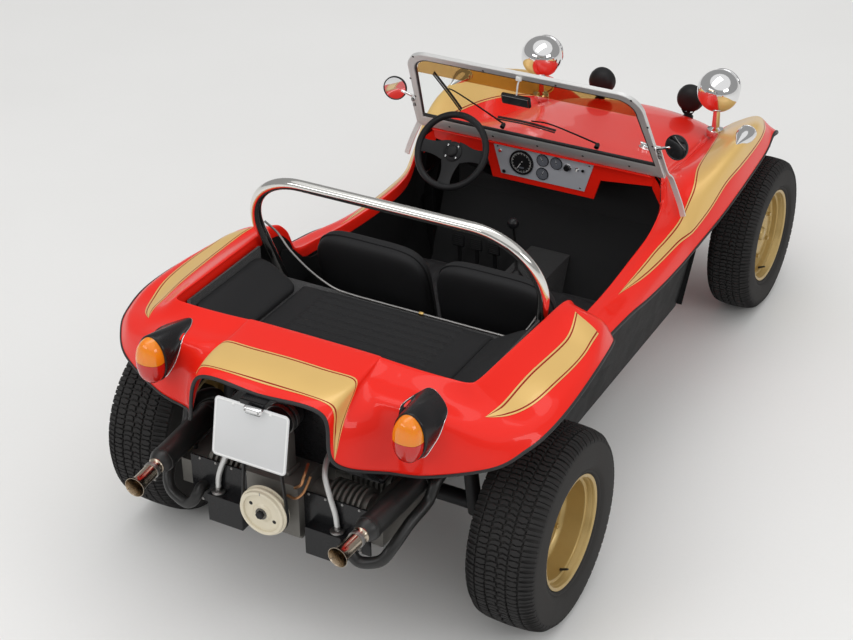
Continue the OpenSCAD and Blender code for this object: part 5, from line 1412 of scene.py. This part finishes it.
def indicators():
    """Teardrop indicators on the wings, with an amber front."""
    base = skin_mm(5.45, 8.0)
    y = np.array([-92, -88, -78, -62, -40, -14, 16, 45, 66, 78])
    w = np.array([4, 16, 27, 36, 40, 37, 27, 15, 8, 3])
    h = np.array([3, 13, 23, 31, 36, 34, 26, 16, 10, 5])
    a = np.linspace(0, TAU, 33)[:-1]
    rings = [at(base + np.column_stack([ww * np.cos(a), np.full(32, yy),
        hh * np.sin(a) + (-4 if yy < 0 else -4 - yy * 0.02)])) for yy, ww, hh in zip(y, w, h)]
    shapes = [loft(rings[3:])] + tinted([loft(rings[:4])], 1)
    shapes.append(tube(rings[3], 0.0022, 8, True))
    piece("indicator_pair", both(shapes), [CHROME, AMBER], stands_for=["front_indicators"],
        sharp=50)


def filler():
    """Filler cap with a grip, on the right of the bonnet."""
    p = skin(6.5, 1.79, 0, -1)
    n = unit(skin(6.5, 1.79, 0.01, -1) - p)
    piece("filler_cap", [turned([(30, -2), (30, 2), (28, 4), (25, 4.5), (25, 13), (23, 16), (16, 18),
        (0, 19)], p, n, 40)], [CHROME])
    grip = place(round_box((-0.0295, -0.0035, 0.006), (0.0295, 0.0035, 0.021), 0.003, 2),
        Matrix((Vector(basis(n)[0]), Vector(basis(n)[1]), Vector(n))).transposed().to_4x4())
    piece("filler_grip", [(grip[0] + p, grip[1])], [CHROME])


# Tail

TAIL_LAMP_X, TAIL_LAMP_Z = 490, 935


def tail_lamps():
    """Hooded pods that rise from the skin, and lenses of an amber and a red half."""
    base = np.array([(21.82, 6.74), (21.6, 6.96), (21.5, 7.5), (21.66, 8.25), (21.86, 9.0), (22.15, 9.5),
        (22.48, 9.05), (22.58, 8.25), (22.36, 7.4), (22.07, 6.86)])
    ring = smooth_line(np.vstack([base[-2:], base, base[:3]]), 6)[12:72]
    wide = skin(ring[:, 0], ring[:, 1], -0.004)
    rise = skin(ring[:, 0], ring[:, 1], 0.004)
    t = math.pi / 2 - np.arange(60) * TAU / 60
    face = lambda v, w, h: upright(TAIL_LAMP_X + w * np.cos(t), TAIL_LAMP_Z + h * np.sin(t), v)
    lip = face(478, 60, 88)
    shapes = [loft([wide, rise, rise + (lip - rise) * 0.25, rise + (lip - rise) * 0.6, lip,
        face(484, 58.5, 87), face(486, 55, 84), face(484, 50, 79)])]
    bead = tube(skin(ring[:, 0], ring[:, 1], 0.0015), 0.0022, 8, True)
    piece("lamp_pods", both(shapes) + tinted(both([bead]), 1), [GLOSS_BLACK, CHROME],
        stands_for=["tail_lamp_pods"], sharp=50)
    dome = np.array([(485, 51, 84), (500, 50, 83), (511, 47, 79), (521, 41, 70), (528, 31, 55),
        (532, 19, 35), (534, 7, 12)])
    shapes = []
    t = np.linspace(0, math.pi, 29)
    bend = lambda k: np.sign(k) * np.abs(k) ** (2 / 2.4)
    for sign, index in ((1, 0), (-1, 1)):
        narrow = 1 - (0.22 if sign > 0 else 0.08) * np.sin(t) ** 2
        rows = np.array([upright(TAIL_LAMP_X + w * bend(np.cos(t)) * narrow,
            TAIL_LAMP_Z + sign * (0.6 + (h - 0.6) * bend(np.sin(t))), v) for v, w, h in dome])
        points, faces = surface(rows)
        shapes.append((points, faces + [tuple(range(6 * 29, 7 * 29))], index))
        shapes.append(surface(np.stack([rows[:, 0], rows[:, -1]], 1)) + (index,))
    piece("lamp_lenses", both(shapes), [AMBER, RED_LENS], stands_for=["tail_lamp_lenses"],
        sharp=50)


PLATE_TILT = math.radians(12)
PLATE_HALF_W, PLATE_HALF_H, PLATE_R = 140, 102.5, 16
PLATE_MIDDLE = (0, 640, 879)


def on_plate(points):
    """Places in the number plate's own frame, as metres in the part's frame."""
    sine, cosine = math.sin(PLATE_TILT), math.cos(PLATE_TILT)
    return tilted(points, PLATE_MIDDLE, np.array([0, -sine, cosine]), np.array([0, cosine, sine]))


def plate_line(inset, z):
    """The plate's outline, set in from its edge, as points at one depth."""
    w, h, r = PLATE_HALF_W - inset, PLATE_HALF_H - inset, max(PLATE_R - inset, 3)
    a = np.radians(np.arange(0, 91, 15))
    q = np.stack([w - r + r * np.cos(a), h - r + r * np.sin(a)], 1)
    line = np.vstack([q, (q * [-1, 1])[::-1], -q, (q * [1, -1])[::-1]])
    return on_plate(np.column_stack([line, np.full(len(line), z)]))


def plate():
    """Blank plate with a border, its bracket and its lamp."""
    sheet = loft([plate_line(1, 0), plate_line(0, 0.6), plate_line(0, 2.4), plate_line(0.8, 3)])
    border = surface(np.array([plate_line(4, 2.9), plate_line(4.4, 3.9), plate_line(8.6, 3.9),
        plate_line(9, 2.9)]), False, True) + (1,)
    shapes = [sheet, border]
    for x in (-70, 70):
        shapes += [turned([(0, 3), (3, 2.6), (4.4, 1.6), (4.8, 0)], on_plate([x, 90, 3]),
            on_plate([0, 0, 1]) - on_plate([0, 0, 0]), 14, 1)]
    shapes += tinted([round_box(at([-45, 560, 991.4]), at([45, 622, 995.2]), 0.0015, 2)], 2)
    shapes += tinted([round_box(at([-45, 616, 962]), at([45, 622, 995.2]), 0.0015, 2)], 2)
    piece("plate_blank", shapes, [PLATE_GREY, PLATE_WHITE, GLOSS_BLACK],
        stands_for=["number_plate"], sharp=40)
    lamp = [round_box(at([-50, 625, 967.5]), at([20, 648, 989]), 0.009, 4)]
    lamp += tinted([round_box(at([-42, 628, 963.5]), at([12, 645, 968]), 0.002, 2)], 1)
    lamp += [turned([(0, 2), (3, 1.6), (3.6, 0)], at([x, 648, 978]), Y_AXIS, 12, 2) for x in (-40, 10)]
    piece("plate_lamp_case", lamp, [CHROME, LAMP_GLASS, STEEL], stands_for=["plate_lamp"])


# Engine and exhaust

CRANK_Z, DYNAMO_Z, CASE_TOP = 551, 838, 646.4
CRANK_R, DYNAMO_R, BELT_GAP = 84, 58, 0.3


def crank_wheel():
    """Cream crank pulley with its bolt, two holes shown as black discs of painted shade, and a timing notch.
    """
    crank = at([0, 574.3, CRANK_Z])
    rim = [(30, 0), (80, 0), (88, 2), (90, 5), (86, 7.4), (83.6, 8.4), (83.6, 19.2), (86, 20.6), (90, 22.6),
        (89, 26), (84, 29), (83, 38), (80, 40), (74, 40), (71, 38), (70, 31), (60, 29), (36, 30), (31, 34),
        (27, 37), (0, 37)]
    shapes = [turned(rim, crank, Y_AXIS, 72)]
    # The two holes are black discs sunk in the face: painted shade where the holes are.
    for a in (0.5, 0.5 + math.pi):
        spot = crank + 0.05 * np.array([math.cos(a), 0, math.sin(a)])
        shapes += [turned([(7, 27), (7, 29.7), (6, 30), (0, 30)], spot, Y_AXIS, 20, 3)]
    shapes += [turned([(21, 36), (21, 39.5), (19, 40), (16, 40)], crank, Y_AXIS, 32, 2)]
    shapes += [turned([(15, 39), (15, 50), (13.5, 52), (0, 52)], crank, Y_AXIS, 6, 3)]
    notch = [round_box(crank + [-0.0015, 0.036, 0.074], crank + [0.0015, 0.0406, 0.083], 0.0004, 1)]
    piece("crank_wheel", shapes + tinted(notch, 1), [CREAM, STEEL, CASTING, BLACK],
        stands_for=["crank_pulley"], sharp=28)


def dynamo():
    """Generator with its pulley, pedestal and straps."""
    gen = at([0, 400.3, DYNAMO_Z])
    shell = [(0, 0), (40, 0), (50, 4), (52, 8), (52, 36), (54, 38), (54, 52), (52, 54), (52, 112), (50, 118),
        (44, 124), (30, 127), (20, 130), (18, 131), (18, 176)]
    shapes = [turned(shell, gen, Y_AXIS, 48)]
    shapes += [turned([(18, 175), (54, 176), (61, 178), (62, 180), (58, 182), (57.6, 193), (62, 195),
        (61, 198), (54, 200), (30, 198), (22, 200), (0, 200)], gen, Y_AXIS, 48, 1)]
    shapes += [turned([(12, 199), (12, 208), (10, 210), (0, 210)], gen, Y_AXIS, 6, 1)]
    shapes += tinted([round_box(at([-38, 440, CASE_TOP]), at([38, 500, 800]), 0.012)], 2)
    shapes += tinted([round_box(at([-46, 434, CASE_TOP]), at([46, 506, 662]), 0.005)], 2)
    shapes += tinted([bar(ring_line(gen + Y_AXIS * x, X_AXIS, Z_AXIS, 0.054, 0.054, 48)[[*range(48), 0]],
        Y_AXIS, 0.014, 0.003) for x in (0.045, 0.07)], 1)
    piece("dynamo", shapes, [BLACK, STEEL, CASTING], stands_for=["generator"], sharp=30)


def drive_belt():
    """Belt round the crank pulley and the generator's."""
    lean = math.asin((CRANK_R - DYNAMO_R) / (DYNAMO_Z - CRANK_Z))
    a0 = np.linspace(math.pi - lean, TAU + lean, 40)
    a1 = np.linspace(lean, math.pi - lean, 30)
    arc = lambda r, z, a: np.column_stack([r * np.cos(a), z + r * np.sin(a)])
    rows = []
    for v, d in ((583.5, 0), (582.3, 6.5), (593.7, 6.5), (592.5, 0)):
        low, high = arc(CRANK_R + BELT_GAP + d, CRANK_Z, a0), arc(DYNAMO_R + BELT_GAP + d, DYNAMO_Z, a1)
        rows.append(upright(*np.vstack([low, high]).T, v))
    piece("drive_belt", [surface(np.array(rows), True, True)], [RUBBER],
        stands_for=["fan_belt"], sharp=40)


def cooling_shroud():
    """Fan shroud: an arch on a wide foot, with rounded edges."""
    a = np.radians(np.linspace(-10, 190, 61))
    arch = np.column_stack([np.cos(a) * (230 + 34 * np.clip((np.abs(np.cos(a)) - 0.45) / 0.3, 0, 1)),
        740 + 190 * np.sin(a)])
    loop = even_line(np.vstack([[(0, CASE_TOP), (338, CASE_TOP), (338, 662)], arch,
        [(-338, 662), (-338, CASE_TOP), (0, CASE_TOP)]]), 140)[:-1]
    inner = np.array([0, 745])
    rings = []
    for v, inset in ((262, 14), (260.5, 8), (264, 2), (272, 0), (388, 0), (396, 2), (399.6, 8), (398.6, 14)):
        r = np.linalg.norm(loop - inner, axis=1, keepdims=True)
        q = inner + (loop - inner) * (1 - inset / r)
        q[:, 1] = np.maximum(q[:, 1], CASE_TOP)
        rings.append(upright(*q.T, v))
    piece("cooling_shroud", [loft(rings)], [GLOSS_BLACK], stands_for=["fan_shroud"],
        sharp=40)


def engine_fittings():
    """Breather hoses with their caps, screws of the tinware and copper oil pipes."""
    hoses = []
    for sx in (1, -1):
        route = at([(sx * 150, 420, 716), (sx * 164, 460, 716), (sx * 182, 500, 692), (sx * 208, 516, 630),
            (sx * 228, 520, 570), (sx * 234, 520, 518), (sx * 234, 520, 500)])
        hoses.append(tube(even_line(smooth_line(route, 10), 90), 0.0095, 18))
        hoses += [turned([(9, -16), (11.5, -15), (11.5, -6), (9.6, -5), (9.6, 0), (24, 0.5), (25, 2),
            (25, 6), (0, 7)], at([sx * 234, 520, 507]), -Z_AXIS, 28, 1)]
    piece("breather_hoses", hoses, [HOSE, STEEL], sharp=60)
    screw = [turned([(0, 3.4), (3.4, 3), (5, 1.4), (5.2, 0)], (0, 0, 0), Y_AXIS, 12)]
    for name, sx in SIDES:
        for k, z in enumerate((604, 436)):
            obj = row_of("tin_screws_%s_%d" % (name, k + 1), screw, 4, (sx * 0.064, 0, 0), STEEL)
            obj.data.transform(shift(at([sx * 120, 506.2, z])))
            settle(obj)
    copper = [tube(smooth_line(at([(-90, 540, 640), (-120, 548, 668), (-128, 540, 700), (-120, 500, 722)]),
        8), 0.0055, 12)]
    copper += [tube(smooth_line(at([(-60, 541, 600), (-100, 556, 612), (-128, 548, 640), (-140, 520, 690)]),
        8), 0.0048, 12)]
    piece("oil_pipes", copper, [COPPER])


HEADER = [(421, 248, 630), (421.5, 236, 630.3), (430, 212, 634), (446, 201, 642), (468, 213, 650),
    (484, 258, 655), (486, 312, 645), (478, 350, 595), (460, 443, 560), (440, 521, 508), (412, 548, 466),
    (350, 560, 444), (316, 562, 460), (301, 552, 488), (300, 535, 500), (300, 518, 500), (300, 507, 500)]


def exhausts():
    """Header pipes, and a silencer with an open tip on each side."""
    line = smooth_line(at([(420.5, 254, 630)] + HEADER), 6)
    pipes("header_pipes", [line, flip(line)], 0.020, EXHAUST_BLACK, 24,
        stands_for=["exhaust_pipes"])
    a, b = at([420, 260, 630]), at([388, 767.7, 624])
    way, length = unit(b - a), np.linalg.norm(b - a) * 1000
    end = length - 135
    can = [(20, 2), (24, 0), (30, 3), (36, 12), (41, 26), (42, 32), (42, end - 30), (41, end - 24),
        (36, end - 12), (30, end - 3), (28, end)]
    shapes = [turned(can, a, way, 48)]
    for h in (40, end - 40):
        shapes.append(turned([(42, h - 9), (44, h - 8), (44.4, h), (44, h + 8), (42, h + 9)], a, way, 48))
    tip = [(28, end - 2), (29, end + 4), (26.6, end + 8), (26, end + 14), (26, length - 44),
        (27.5, length - 26), (31, length - 10), (35.5, length - 1), (36, length), (34.6, length),
        (30, length - 12), (25.6, length - 30), (23.5, length - 50), (23.5, length - 72), (0, length - 72)]
    shapes += [turned(tip, a, way, 48, 1)]
    clamp = [(26, end + 22), (29, end + 22.6), (29.4, end + 29), (29, end + 35.4), (26, end + 36)]
    shapes += [turned(clamp, a, way, 36, 2)]
    side, over, _ = basis(way)
    ear = a + way * (end + 29) / 1000 + 0.035 * over
    shapes += [turned([(0, 14), (5, 14), (5.6, 12), (5.6, -12), (5, -14), (0, -14)], ear, side, 6, 2)]
    for name, sx in SIDES:
        made = shapes if sx > 0 else [mirrored(s) for s in shapes]
        stay = tube(at([(385 * sx, 430, 596), (385 * sx, 430, 560)]), 0.008, 14)
        piece("silencer_" + name, made + tinted([stay], 0), [EXHAUST_BLACK, TIP, STEEL],
            stands_for=["exhaust_" + name], sharp=30)


headlamps()
fog_lamps()
indicators()
filler()
tail_lamps()
plate()
crank_wheel()
dynamo()
drive_belt()
cooling_shroud()
engine_fittings()
exhausts()

# Nodes of the part that show as they are

SHOWN = {"floor_pan": CARPET, "tub_sides": TUB, "toe_board": CARPET, "rear_bulkhead": CARPET,
    "rear_deck": CARPET, "instrument_panel": PANEL, "windscreen_glass": GLASS, "steering_column": BLACK,
    "engine_case": CASTING, "engine_tin": GLOSS_BLACK, "gearbox": CASTING, "rear_axle": BLACK,
    "front_beam": BLACK, "knuckle_left": BLACK, "knuckle_right": BLACK}
for name, material in SHOWN.items():
    mesh = frame["nodes"][name].data
    mesh.materials.clear()
    mesh.materials.append(material)
